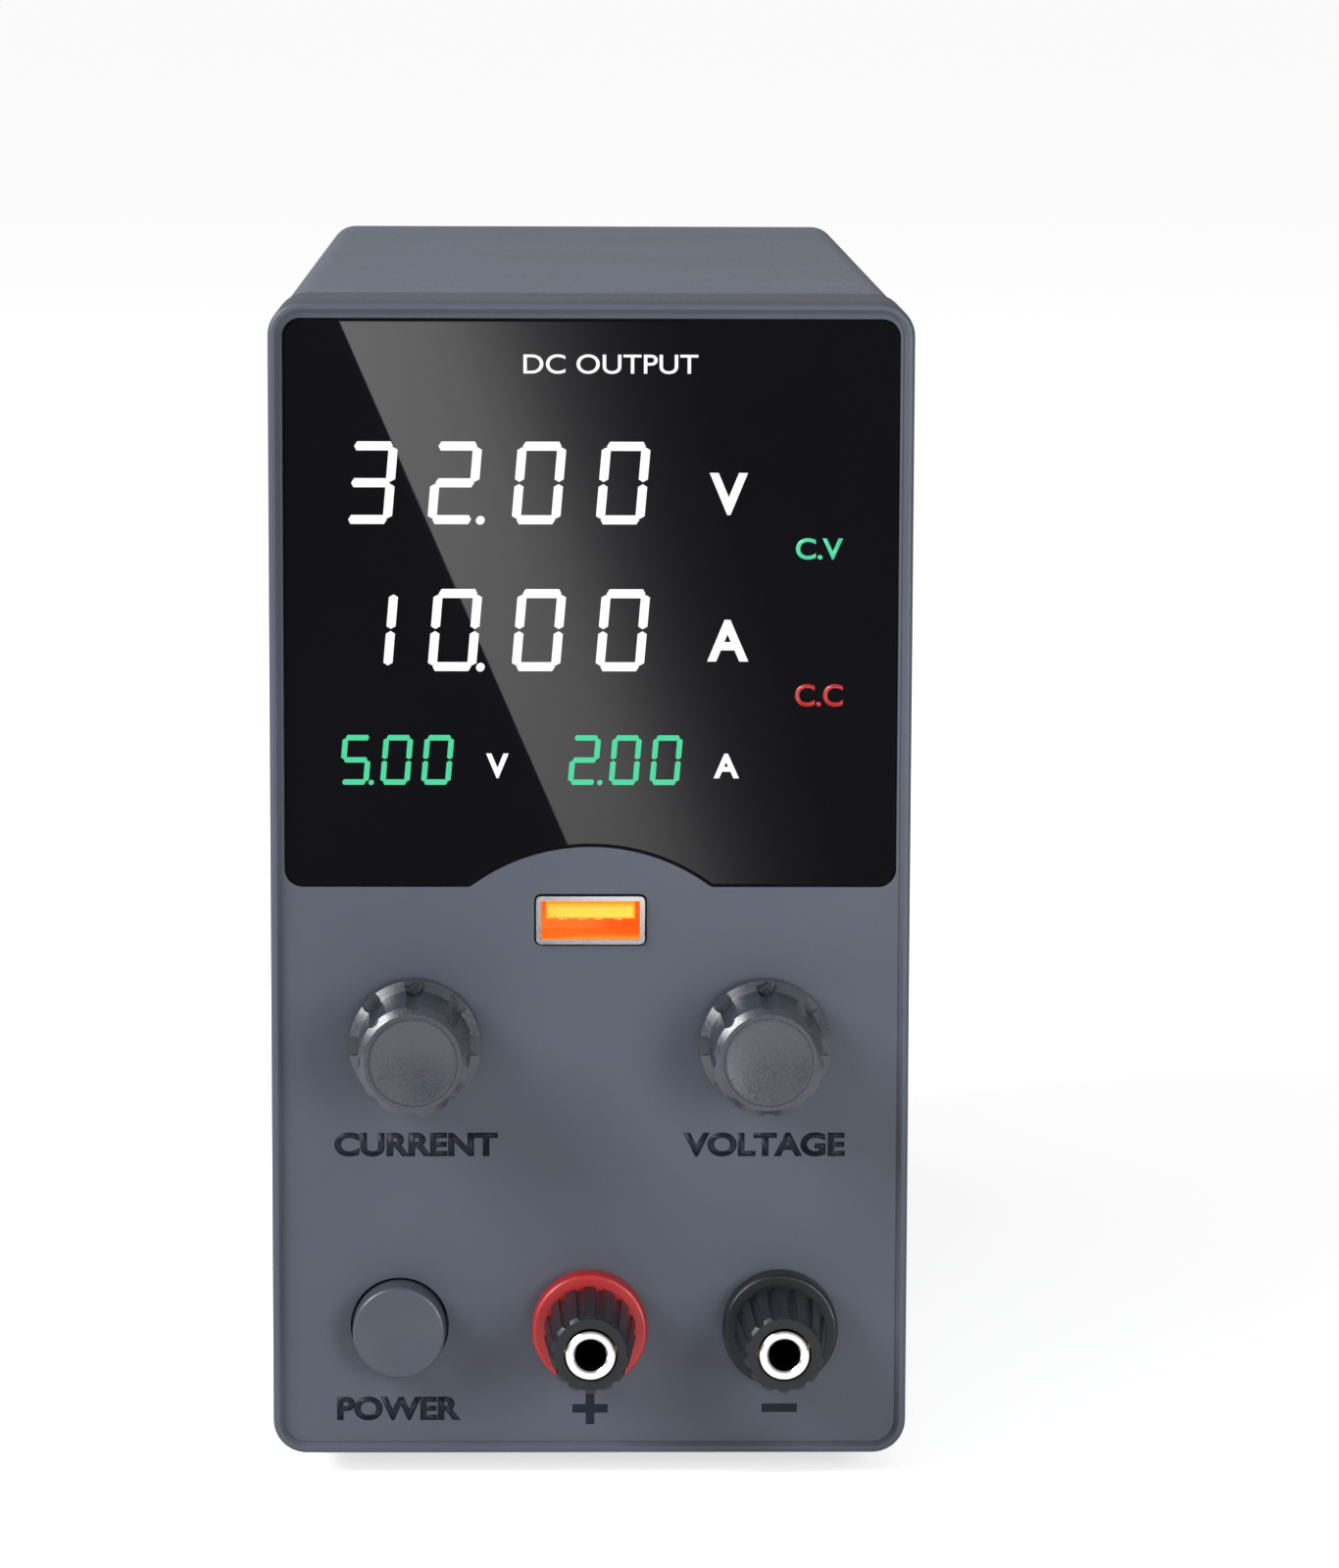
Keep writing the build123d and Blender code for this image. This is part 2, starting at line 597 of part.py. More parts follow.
def cross_rod(depth, height, radius, length):
    # Round bar running from side to side through the middle.
    place = Pos(0, FRONT_Y + depth, FOOT_HEIGHT + height)
    return place * Rot(0, 90, 0) * Cylinder(radius, length)


def case_outline(inset):
    rectangle = RectangleRounded(
        CASE_WIDTH - 2 * inset, CASE_HEIGHT - 2 * inset, CORNER_RADIUS - inset
    )
    return spot(0, CASE_MIDDLE) * rectangle


def case_ring(outer_inset, inner_inset, start, stop):
    return slab(case_outline(outer_inset) - case_outline(inner_inset), start, stop)


def window_outline(shrink):
    # Rounded rectangle with the low arch over the charging outlet.
    notch_radius = (NOTCH_HALF_WIDTH**2 + NOTCH_RISE**2) / (2 * NOTCH_RISE)
    middle = (WINDOW_BOTTOM + WINDOW_TOP) / 2
    tall = WINDOW_TOP - WINDOW_BOTTOM
    sheet = spot(0, middle) * RectangleRounded(
        WINDOW_WIDTH - 2 * shrink, tall - 2 * shrink, WINDOW_CORNER - shrink
    )
    arch_centre = WINDOW_BOTTOM + NOTCH_RISE - notch_radius
    sheet = sheet - spot(0, arch_centre) * Circle(notch_radius + shrink)
    low_edge = WINDOW_BOTTOM + shrink
    ends = [
        corner
        for corner in sheet.vertices()
        if abs(corner.Y - low_edge) < EDGE_TOLERANCE
        and abs(corner.X) < NOTCH_HALF_WIDTH + WINDOW_CORNER
    ]
    return fillet(ends, NOTCH_END_ROUND)


def hexagon(across_flats):
    return RegularPolygon(across_flats / 2, 6, major_radius=False)


def corner_places():
    x = CASE_WIDTH / 2 - PANEL_SCREW_INSET
    high = CASE_HEIGHT - PANEL_SCREW_TOP_INSET
    return [(side * x, height) for side in (-1, 1) for height in (PANEL_SCREW_INSET, high)]


def board_places(x, low, high):
    return [(side * x, height) for side in (-1, 1) for height in (low, high)]


# Front panel: one moulding with the raised rim, the window pocket, the holes and the bosses
def panel_shell():
    flange = slab(case_outline(0), 0, PANEL_FLANGE)
    rim_edges = flange.edges().filter_by_position(Axis.Y, FRONT_Y, FRONT_Y)
    flange = fillet(rim_edges, RIM_OUTER_ROUND)
    plate = slab(case_outline(FRAME_WALL + PANEL_FIT), FACE_RECESS, PANEL_BACK)
    shell = flange + plate - slab(case_outline(RIM_WIDTH), -OVERCUT, FACE_RECESS)
    limit = CASE_WIDTH / 2 - RIM_WIDTH + EDGE_TOLERANCE
    low = FOOT_HEIGHT + RIM_WIDTH - EDGE_TOLERANCE
    high = FOOT_HEIGHT + CASE_HEIGHT - RIM_WIDTH + EDGE_TOLERANCE
    inner_edges = [
        edge
        for edge in shell.edges().filter_by_position(Axis.Y, FRONT_Y, FRONT_Y)
        if abs(edge.center().X) < limit and low < edge.center().Z < high
    ]
    return chamfer(inner_edges, RIM_INNER_BEVEL)


def panel_bosses():
    bosses = Part()
    for x, height in corner_places():
        end = PANEL_BACK + PANEL_BOSS_LENGTH
        bosses += rod(x, height, BOSS_RADIUS, WINDOW_BACK, end)
        bosses -= rod(x, height, SCREW_PILOT_RADIUS, PANEL_BACK, end)
    for x, height in board_places(BOARD_BOSS_X, DISPLAY_BOSS_LOW, DISPLAY_BOSS_HIGH):
        bosses += rod(x, height, BOARD_BOSS_RADIUS, WINDOW_BACK, DISPLAY_BOARD_FRONT)
        bosses -= rod(x, height, SCREW_PILOT_RADIUS, PANEL_BACK, DISPLAY_BOARD_FRONT)
    for x, height in board_places(BOARD_BOSS_X, CONTROL_BOSS_LOW, CONTROL_BOSS_HIGH):
        bosses += rod(x, height, BOARD_BOSS_RADIUS, WINDOW_BACK, CONTROL_BOARD_FRONT)
        bosses -= rod(x, height, SCREW_PILOT_RADIUS, PANEL_BACK, CONTROL_BOARD_FRONT)
    for side in (-1, 1):
        x = BUTTON_X + side * SWITCH_SCREW_PITCH / 2
        bosses += rod(x, LOW_ROW_HEIGHT, BOARD_BOSS_RADIUS, WINDOW_BACK, SWITCH_PLATE_FRONT)
        bosses -= rod(x, LOW_ROW_HEIGHT, SCREW_PILOT_RADIUS, PANEL_BACK, SWITCH_PLATE_FRONT)
    return bosses


def panel_holes():
    usb_hole = RectangleRounded(
        USB_WIDTH + 2 * USB_SLOT_GAP, USB_TALL + 2 * USB_SLOT_GAP, USB_SHELL_ROUND + USB_SLOT_GAP
    )
    light_tall = LIGHT_OPENING_TOP - LIGHT_OPENING_BOTTOM
    light_middle = (LIGHT_OPENING_TOP + LIGHT_OPENING_BOTTOM) / 2
    light = RectangleRounded(LIGHT_OPENING_WIDTH, light_tall, LIGHT_OPENING_CORNER)
    through = -OVERCUT, PANEL_BACK + OVERCUT
    holes = slab(window_outline(0), -OVERCUT, WINDOW_BACK)
    holes += slab(spot(0, light_middle) * light, *through)
    holes += slab(spot(0, USB_HEIGHT) * usb_hole, *through)
    for side in (-1, 1):
        bushing_hole = BUSHING_RADIUS + BUSHING_HOLE_FIT
        holes += rod(side * KNOB_X, KNOB_CENTRE_HEIGHT, bushing_hole, *through)
    holes += rod(BUTTON_X, LOW_ROW_HEIGHT, BUTTON_RADIUS + BUTTON_HOLE_GAP, *through)
    for x in POST_X:
        holes += rod(x, LOW_ROW_HEIGHT, COLLAR_NECK_RADIUS + COLLAR_NECK_GAP, *through)
    return holes


def panel_rib():
    # Stiffening rib across the back, between the knobs and the lower row.
    width = CASE_WIDTH - 2 * (FRAME_WALL + PANEL_FIT + PANEL_RIB_END_GAP)
    height = LOW_ROW_HEIGHT + PANEL_RIB_RISE
    return block(0, height, width, PANEL_RIB_THICKNESS, WINDOW_BACK, PANEL_BACK + PANEL_RIB_DEPTH)


def front_panel():
    return panel_shell() + panel_bosses() + panel_rib() - panel_holes()


# Ring between the front panel and the sheet metal
def front_frame():
    ring = case_ring(0, FRAME_WALL, PANEL_FLANGE, FRAME_DEPTH)
    ring -= case_ring(0, GROOVE_DEPTH, PANEL_FLANGE, PANEL_FLANGE + GROOVE_WIDTH)
    spigot_start = FRAME_DEPTH - SPIGOT_ROOT
    spigot_end = FRAME_DEPTH + SPIGOT_LENGTH
    ring += case_ring(INNER_INSET, INNER_INSET + SPIGOT_WALL, spigot_start, spigot_end)
    tab_start = PANEL_BACK + PANEL_BOSS_LENGTH
    tab_end = tab_start + TAB_THICKNESS
    tabs = Part()
    for x, height in corner_places():
        side = 1 if x > 0 else -1
        rise = 1 if height > CASE_MIDDLE else -1
        size = TAB_SIZE + PANEL_SCREW_INSET
        middle_x = x + side * PANEL_SCREW_INSET / 2
        middle_height = height + rise * PANEL_SCREW_INSET / 2
        tabs += block(middle_x, middle_height, size, size, tab_start, tab_end)
    ring += tabs & slab(case_outline(FRAME_WALL / 2), tab_start, tab_end)
    for x, height in corner_places():
        ring -= rod(x, height, TAB_HOLE_RADIUS, tab_start - OVERCUT, tab_end + OVERCUT)
    return ring


# Window and what shines through it
def display_window():
    window = slab(window_outline(WINDOW_FIT), FACE_RECESS, WINDOW_BACK)
    face = FRONT_Y + FACE_RECESS
    front_edges = window.edges().filter_by_position(Axis.Y, face, face)
    return chamfer(front_edges, WINDOW_BEVEL)


def digit_module(x, height, width, tall):
    body = block(x, height, width, tall, MODULE_FRONT, MODULE_FRONT + MODULE_DEPTH)
    front = FRONT_Y + MODULE_FRONT
    body = chamfer(body.edges().filter_by_position(Axis.Y, front, front), MODULE_BEZEL_CUT)
    pins = int((width / 2 - PIN_ROW_END_GAP) / PIN_ROW_PITCH)
    row = tall / 2 - PIN_ROW_PITCH / 2 - MODULE_PIN_SIZE
    start = MODULE_FRONT + MODULE_DEPTH
    for index in range(pins):
        pin_x = x + (index - (pins - 1) / 2) * 2 * PIN_ROW_PITCH
        for side in (-1, 1):
            pin_height = height + side * row
            body += block(
                pin_x, pin_height, MODULE_PIN_SIZE, MODULE_PIN_SIZE,
                start, start + MODULE_PIN_LENGTH,
            )
    return body


def voltage_digits():
    return digit_module(
        DIGIT_MODULE_X, VOLTAGE_ROW_HEIGHT, DIGIT_MODULE_WIDTH, DIGIT_MODULE_HEIGHT
    )


def current_digits():
    return digit_module(
        DIGIT_MODULE_X, CURRENT_ROW_HEIGHT, DIGIT_MODULE_WIDTH, DIGIT_MODULE_HEIGHT
    )


def charging_digits():
    volts = digit_module(
        SMALL_MODULE_VOLT_X, SMALL_ROW_HEIGHT, SMALL_MODULE_WIDTH, SMALL_MODULE_HEIGHT
    )
    amps = digit_module(
        SMALL_MODULE_AMP_X, SMALL_ROW_HEIGHT, SMALL_MODULE_WIDTH, SMALL_MODULE_HEIGHT
    )
    return volts + amps


def mode_lamps():
    lamps = Part()
    for row in (VOLTAGE_ROW_HEIGHT, CURRENT_ROW_HEIGHT):
        lamps += block(
            LAMP_X, row - LAMP_DROP, LAMP_WIDTH, LAMP_HEIGHT, MODULE_FRONT, DISPLAY_BOARD_FRONT
        )
    return lamps


def module_pin_holes(x, height, width, tall):
    # Two slots for the pin rows of one display module.
    row = tall / 2 - PIN_ROW_PITCH / 2 - MODULE_PIN_SIZE
    slots = Part()
    for side in (-1, 1):
        slots += block(
            x, height + side * row, width - 2 * PIN_SLOT_END_GAP, MODULE_PIN_SIZE + 2 * PIN_SLOT_FIT,
            DISPLAY_BOARD_FRONT - OVERCUT, DISPLAY_BOARD_FRONT + BOARD_THICKNESS + OVERCUT,
        )
    return slots


def display_board():
    middle = (DISPLAY_BOARD_BOTTOM + DISPLAY_BOARD_TOP) / 2
    tall = DISPLAY_BOARD_TOP - DISPLAY_BOARD_BOTTOM
    back = DISPLAY_BOARD_FRONT + BOARD_THICKNESS
    board = block(0, middle, BOARD_WIDTH, tall, DISPLAY_BOARD_FRONT, back)
    for x, height in board_places(BOARD_BOSS_X, DISPLAY_BOSS_LOW, DISPLAY_BOSS_HIGH):
        board -= rod(x, height, BOARD_HOLE_RADIUS, DISPLAY_BOARD_FRONT - OVERCUT, back + OVERCUT)
    for height in (VOLTAGE_ROW_HEIGHT, CURRENT_ROW_HEIGHT):
        board -= module_pin_holes(
            DIGIT_MODULE_X, height, DIGIT_MODULE_WIDTH, DIGIT_MODULE_HEIGHT
        )
    for x in (SMALL_MODULE_VOLT_X, SMALL_MODULE_AMP_X):
        board -= module_pin_holes(x, SMALL_ROW_HEIGHT, SMALL_MODULE_WIDTH, SMALL_MODULE_HEIGHT)
    return board


# Charging outlet
def usb_shell():
    outer = RectangleRounded(USB_WIDTH, USB_TALL, USB_SHELL_ROUND)
    inner = Rectangle(USB_WIDTH - 2 * USB_SHELL_WALL, USB_TALL - 2 * USB_SHELL_WALL)
    return slab(spot(0, USB_HEIGHT) * (outer - inner), USB_FRONT, CONTROL_BOARD_FRONT)


def usb_tongue():
    # Insulator: a block that closes the back of the shell, with the tongue standing out of it.
    width = USB_WIDTH - 2 * USB_SHELL_WALL - 2 * USB_FIT
    tall = USB_TALL - 2 * USB_SHELL_WALL - 2 * USB_FIT
    back_start = CONTROL_BOARD_FRONT - USB_BACK_THICKNESS
    tongue_height = USB_HEIGHT + USB_TONGUE_DROP
    back = block(0, USB_HEIGHT, width, tall, back_start, CONTROL_BOARD_FRONT)
    tongue = block(
        0, tongue_height, USB_TONGUE_WIDTH, USB_TONGUE_THICKNESS, USB_TONGUE_FRONT, back_start
    )
    front = FRONT_Y + USB_TONGUE_FRONT
    tongue = chamfer(tongue.edges().filter_by_position(Axis.Y, front, front), USB_TONGUE_EDGE)
    return back + tongue


def usb_contacts():
    # Four spring strips lying along the tongue.
    underside = USB_HEIGHT + USB_TONGUE_DROP - USB_TONGUE_THICKNESS / 2
    height = underside - USB_CONTACT_THICKNESS / 2
    start = USB_TONGUE_FRONT + USB_CONTACT_SETBACK
    strips = Part()
    for pitch in (USB_CONTACT_INNER_PITCH, USB_CONTACT_OUTER_PITCH):
        for side in (-1, 1):
            strips += block(
                side * pitch, height, USB_CONTACT_WIDTH, USB_CONTACT_THICKNESS,
                start, start + USB_CONTACT_REACH,
            )
    return strips


# Control board, potentiometers and their nuts
def control_board():
    middle = (CONTROL_BOARD_BOTTOM + CONTROL_BOARD_TOP) / 2
    tall = CONTROL_BOARD_TOP - CONTROL_BOARD_BOTTOM
    back = CONTROL_BOARD_FRONT + BOARD_THICKNESS
    board = block(0, middle, BOARD_WIDTH, tall, CONTROL_BOARD_FRONT, back)
    for x, height in board_places(BOARD_BOSS_X, CONTROL_BOSS_LOW, CONTROL_BOSS_HIGH):
        board -= rod(x, height, BOARD_HOLE_RADIUS, CONTROL_BOARD_FRONT - OVERCUT, back + OVERCUT)
    return board


def potentiometer(x):
    height = KNOB_CENTRE_HEIGHT
    bushing_front = FACE_RECESS - BUSHING_REACH + PANEL_THICKNESS
    body = rod(x, height, POT_BODY_RADIUS, PANEL_BACK, CONTROL_BOARD_FRONT)
    terminal_start = CONTROL_BOARD_FRONT - POT_TERMINAL_DEPTH
    body += block(
        x, height - POT_TERMINAL_DROP / 2, POT_TERMINAL_WIDTH, POT_TERMINAL_DROP,
        terminal_start, CONTROL_BOARD_FRONT,
    )
    body += rod(x, height, BUSHING_RADIUS, bushing_front, PANEL_BACK)
    room_end = PANEL_BACK + SHAFT_ROOT + SHAFT_END_GAP
    return body - rod(x, height, SHAFT_RADIUS + SHAFT_FIT, bushing_front - OVERCUT, room_end)


def pot_nuts():
    nuts = Part()
    for side in (-1, 1):
        place = spot(side * KNOB_X, KNOB_CENTRE_HEIGHT)
        ring = hexagon(NUT_ACROSS_FLATS) - Circle(BUSHING_RADIUS + SHAFT_FIT)
        nuts += slab(place * ring, FACE_RECESS - NUT_THICKNESS, FACE_RECESS)
    return nuts


def flat_cut(x, depth_room, start, stop):
    # Block over the flat of a D-shaped shaft.
    lift = SHAFT_RADIUS - SHAFT_FLAT_DEPTH
    middle = KNOB_CENTRE_HEIGHT + lift + depth_room / 2
    width = 2 * (SHAFT_RADIUS + SHAFT_FLAT_OVERWIDTH)
    return block(x, middle, width, depth_room, start, stop)


def pot_shaft(x):
    front = FACE_RECESS - SHAFT_FRONT
    end = PANEL_BACK + SHAFT_ROOT
    shaft = rod(x, KNOB_CENTRE_HEIGHT, SHAFT_RADIUS, front, end)
    return shaft - flat_cut(x, SHAFT_RADIUS, front - OVERCUT, front + SHAFT_FLAT_LENGTH)


# Knobs
def knob_body(x):
    room_floor = KNOB_BACK - KNOB_ROOM_DEPTH
    bore_end = FACE_RECESS - SHAFT_FRONT - KNOB_BORE_END_GAP
    bore = SHAFT_RADIUS + SHAFT_FIT
    slope_end = KNOB_BACK - KNOB_SKIRT_THICKNESS - KNOB_SKIRT_SLOPE
    points = [
        (KNOB_ROOM_RADIUS, KNOB_BACK),
        (KNOB_SKIRT_RADIUS, KNOB_BACK),
        (KNOB_SKIRT_RADIUS, KNOB_BACK - KNOB_SKIRT_THICKNESS),
        (KNOB_GRIP_RADIUS, slope_end),
        (KNOB_GRIP_RADIUS - KNOB_GRIP_TAPER, KNOB_FRONT + KNOB_EDGE_BEVEL),
        (KNOB_RING_RADIUS, KNOB_FRONT),
        (KNOB_DISH_RADIUS, KNOB_FRONT),
        (KNOB_DISH_RADIUS, KNOB_FRONT + KNOB_DISH_DEPTH),
        (0, KNOB_FRONT + KNOB_DISH_DEPTH),
        (0, bore_end),
        (bore, bore_end),
        (bore, room_floor),
        (KNOB_ROOM_RADIUS, room_floor),
    ]
    return turned(points, x, KNOB_CENTRE_HEIGHT)


def knob_grooves(x):
    cutters = Part()
    radius = KNOB_GRIP_RADIUS + KNOB_GROOVE_OFFSET
    stop = KNOB_BACK - KNOB_SKIRT_THICKNESS
    for index in range(KNOB_GROOVES):
        angle = 2 * pi * index / KNOB_GROOVES
        groove_x = x + radius * sin(angle)
        groove_height = KNOB_CENTRE_HEIGHT + radius * cos(angle)
        cutters += rod(groove_x, groove_height, KNOB_GROOVE_RADIUS, KNOB_FRONT - OVERCUT, stop)
    return cutters


def knob(x):
    body = knob_body(x) - knob_grooves(x)
    bore_end = FACE_RECESS - SHAFT_FRONT - KNOB_BORE_END_GAP
    key_end = FACE_RECESS - SHAFT_FRONT + SHAFT_FLAT_LENGTH - KNOB_KEY_END_GAP
    lift = SHAFT_RADIUS - SHAFT_FLAT_DEPTH + SHAFT_FIT
    key_tall = SHAFT_RADIUS + KNOB_KEY_LAP - lift
    key_middle = KNOB_CENTRE_HEIGHT + lift + key_tall / 2
    return body + block(x, key_middle, 2 * SHAFT_RADIUS, key_tall, bore_end, key_end)


def knob_cap(x):
    # Thin disc pressed into the front of the knob, slightly dished.
    radius = KNOB_DISH_RADIUS - KNOB_CAP_FIT
    back = KNOB_FRONT + KNOB_DISH_DEPTH
    front = back - KNOB_CAP_THICKNESS
    disc = rod(x, KNOB_CENTRE_HEIGHT, radius, front, back)
    return disc - dish_ball(x, KNOB_CENTRE_HEIGHT, radius - KNOB_CAP_EDGE, KNOB_CAP_DISH, front)


# Power button
def power_button():
    front = FACE_RECESS - BUTTON_REACH
    flange_front = PANEL_BACK + BUTTON_FLANGE_GAP
    flange_back = flange_front + BUTTON_FLANGE_THICKNESS
    hub_back = flange_back + BUTTON_HUB_LENGTH
    points = [
        (0, front),
        (0, hub_back),
        (BUTTON_HUB_RADIUS, hub_back),
        (BUTTON_HUB_RADIUS, flange_back),
        (BUTTON_FLANGE_RADIUS, flange_back),
        (BUTTON_FLANGE_RADIUS, flange_front),
        (BUTTON_RADIUS, flange_front),
        (BUTTON_RADIUS, front),
    ]
    button = rounded_front(turned(points, BUTTON_X, LOW_ROW_HEIGHT), front, BUTTON_EDGE_ROUND)
    rim = BUTTON_RADIUS - BUTTON_EDGE_ROUND
    button -= dish_ball(BUTTON_X, LOW_ROW_HEIGHT, rim, BUTTON_DISH, front)
    socket = PLUNGER_SIZE + 2 * PLUNGER_FIT
    socket_start = hub_back - BUTTON_SOCKET_DEPTH
    end = hub_back + OVERCUT
    return button - block(BUTTON_X, LOW_ROW_HEIGHT, socket, socket, socket_start, end)


def button_hub_back():
    return PANEL_BACK + BUTTON_FLANGE_GAP + BUTTON_FLANGE_THICKNESS + BUTTON_HUB_LENGTH


def switch_plunger():
    start = button_hub_back() - BUTTON_SOCKET_DEPTH + PLUNGER_FIT
    stop = SWITCH_PLATE_FRONT + PLUNGER_INSIDE
    return block(BUTTON_X, LOW_ROW_HEIGHT, PLUNGER_SIZE, PLUNGER_SIZE, start, stop)


def switch_room():
    room = PLUNGER_SIZE + 2 * PLUNGER_ROOM_GAP
    stop = SWITCH_PLATE_FRONT + SWITCH_ROOM_DEPTH
    return block(BUTTON_X, LOW_ROW_HEIGHT, room, room, SWITCH_PLATE_FRONT - OVERCUT, stop)


def switch_plate():
    back = SWITCH_PLATE_FRONT + SWITCH_PLATE_THICKNESS
    plate = block(
        BUTTON_X, LOW_ROW_HEIGHT, SWITCH_PLATE_WIDTH, SWITCH_PLATE_TALL, SWITCH_PLATE_FRONT, back
    )
    for side in (-1, 1):
        x = BUTTON_X + side * SWITCH_SCREW_PITCH / 2
        plate -= rod(
            x, LOW_ROW_HEIGHT, BOARD_HOLE_RADIUS, SWITCH_PLATE_FRONT - OVERCUT, back + OVERCUT
        )
    return plate - switch_room()


def switch_body():
    front = SWITCH_PLATE_FRONT + SWITCH_PLATE_THICKNESS
    back = front + SWITCH_BODY_DEPTH
    body = block(BUTTON_X, LOW_ROW_HEIGHT, SWITCH_BODY_WIDTH, SWITCH_BODY_TALL, front, back)
    for x_side in (-1, 1):
        for z_side in (-1, 1):
            body += block(
                BUTTON_X + x_side * SWITCH_TERMINAL_X, LOW_ROW_HEIGHT + z_side * SWITCH_TERMINAL_Z,
                SWITCH_TERMINAL_THICKNESS, SWITCH_TERMINAL_WIDTH,
                back, back + SWITCH_TERMINAL_LENGTH,
            )
    return body - switch_room()


# Binding posts
def post_collar(x):
    neck = COLLAR_NECK_RADIUS
    hole = POST_TUBE_RADIUS + COLLAR_FIT
    points = [
        (hole, PANEL_BACK),
        (neck, PANEL_BACK),
        (neck, FACE_RECESS),
        (COLLAR_RADIUS, FACE_RECESS),
        (COLLAR_RADIUS, COLLAR_FRONT),
        (hole, COLLAR_FRONT),
    ]
    return rounded_front(turned(points, x, LOW_ROW_HEIGHT), COLLAR_FRONT, COLLAR_ROUND)


def post_stud(x):
    # Threaded tube with the 4 mm socket, a cross hole for wire and a thinner rear thread.
    bevel = POST_MOUTH_BEVEL
    bore_end = POST_TIP + POST_BORE_DEPTH
    stud_end = PANEL_BACK + POST_REAR_LENGTH
    points = [
        (0, bore_end),
        (POST_BORE_RADIUS, bore_end),
        (POST_BORE_RADIUS, POST_TIP + bevel),
        (POST_BORE_RADIUS + bevel, POST_TIP),
        (POST_TUBE_RADIUS - bevel, POST_TIP),
        (POST_TUBE_RADIUS, POST_TIP + bevel),
        (POST_TUBE_RADIUS, PANEL_BACK),
        (POST_THREAD_RADIUS, PANEL_BACK),
        (POST_THREAD_RADIUS, stud_end),
        (0, stud_end),
    ]
    stud = turned(points, x, LOW_ROW_HEIGHT)
    hole_depth = COLLAR_FRONT - POST_WIRE_HOLE_OFFSET
    return stud - standing_rod(
        x, hole_depth, POST_WIRE_HOLE_RADIUS,
        LOW_ROW_HEIGHT - 2 * POST_TUBE_RADIUS, LOW_ROW_HEIGHT + 2 * POST_TUBE_RADIUS,
    )


def post_cap_blank(x):
    base = COLLAR_FRONT - POST_CAP_GAP
    tip = POST_TIP + POST_CAP_SETBACK
    insert_start = base - INSERT_SETBACK
    insert_room = INSERT_OUTER + INSERT_FIT
    bore = POST_TUBE_RADIUS + POST_CAP_BORE_GAP
    room_end = insert_start - INSERT_LENGTH - POST_CAP_GAP
    points = [
        (insert_room, base),
        (POST_CAP_BASE_RADIUS, base),
        (POST_CAP_TIP_RADIUS, tip + POST_CAP_EDGE),
        (POST_CAP_TIP_RADIUS - POST_CAP_EDGE, tip),
        (bore, tip),
        (bore, room_end),
        (insert_room, room_end),
    ]
    return turned(points, x, LOW_ROW_HEIGHT)


def post_cap_flutes(x):
    # Round cutters laid along the cone so each flute keeps its depth to the tip.
    base = COLLAR_FRONT - POST_CAP_GAP
    tip = POST_TIP + POST_CAP_SETBACK
    run = base - tip
    lean = degrees(atan2(POST_CAP_BASE_RADIUS - POST_CAP_TIP_RADIUS, run))
    middle_radius = (POST_CAP_BASE_RADIUS + POST_CAP_TIP_RADIUS) / 2
    offset = middle_radius + POST_CAP_FLUTE_RADIUS - POST_CAP_FLUTE_DEPTH
    length = run + 2 * POST_FLUTE_OVERRUN
    cutter = Rot(90, 0, 0) * Cylinder(POST_CAP_FLUTE_RADIUS, length)
    cutter = Pos(0, (base + tip) / 2, offset) * Rot(lean, 0, 0) * cutter
    cutters = Part()
    for index in range(POST_CAP_LOBES):
        cutters += Rot(0, 360 * (index + 0.5) / POST_CAP_LOBES, 0) * cutter
    return Pos(x, FRONT_Y, FOOT_HEIGHT + LOW_ROW_HEIGHT) * cutters


def post_cap(x):
    return post_cap_blank(x) - post_cap_flutes(x)


def post_insert(x):
    start = COLLAR_FRONT - POST_CAP_GAP - INSERT_SETBACK
    place = spot(x, LOW_ROW_HEIGHT)
    ring = place * (Circle(INSERT_OUTER) - Circle(INSERT_INNER))
    return slab(ring, start - INSERT_LENGTH, start)


def rear_insulator(x):
    ring = Circle(COLLAR_RADIUS) - Circle(POST_THREAD_RADIUS + COLLAR_FIT)
    return slab(spot(x, LOW_ROW_HEIGHT) * ring, PANEL_BACK, INSULATOR_BACK)


def rear_insulators():
    washers = Part()
    for x in POST_X:
        washers += rear_insulator(x)
    return washers


def post_nuts():
    nuts = Part()
    for x in POST_X:
        ring = spot(x, LOW_ROW_HEIGHT) * (
            hexagon(POST_NUT_ACROSS_FLATS) - Circle(POST_THREAD_RADIUS + COLLAR_FIT)
        )
        nuts += slab(ring, INSULATOR_BACK, LUG_FRONT)
        second = LUG_FRONT + LUG_THICKNESS
        nuts += slab(ring, second, second + POST_NUT_THICKNESS)
    return nuts


def lug_barrel_base():
    return LOW_ROW_HEIGHT + LUG_RADIUS + LUG_TONGUE_LENGTH / 2 - LUG_BARREL_LENGTH


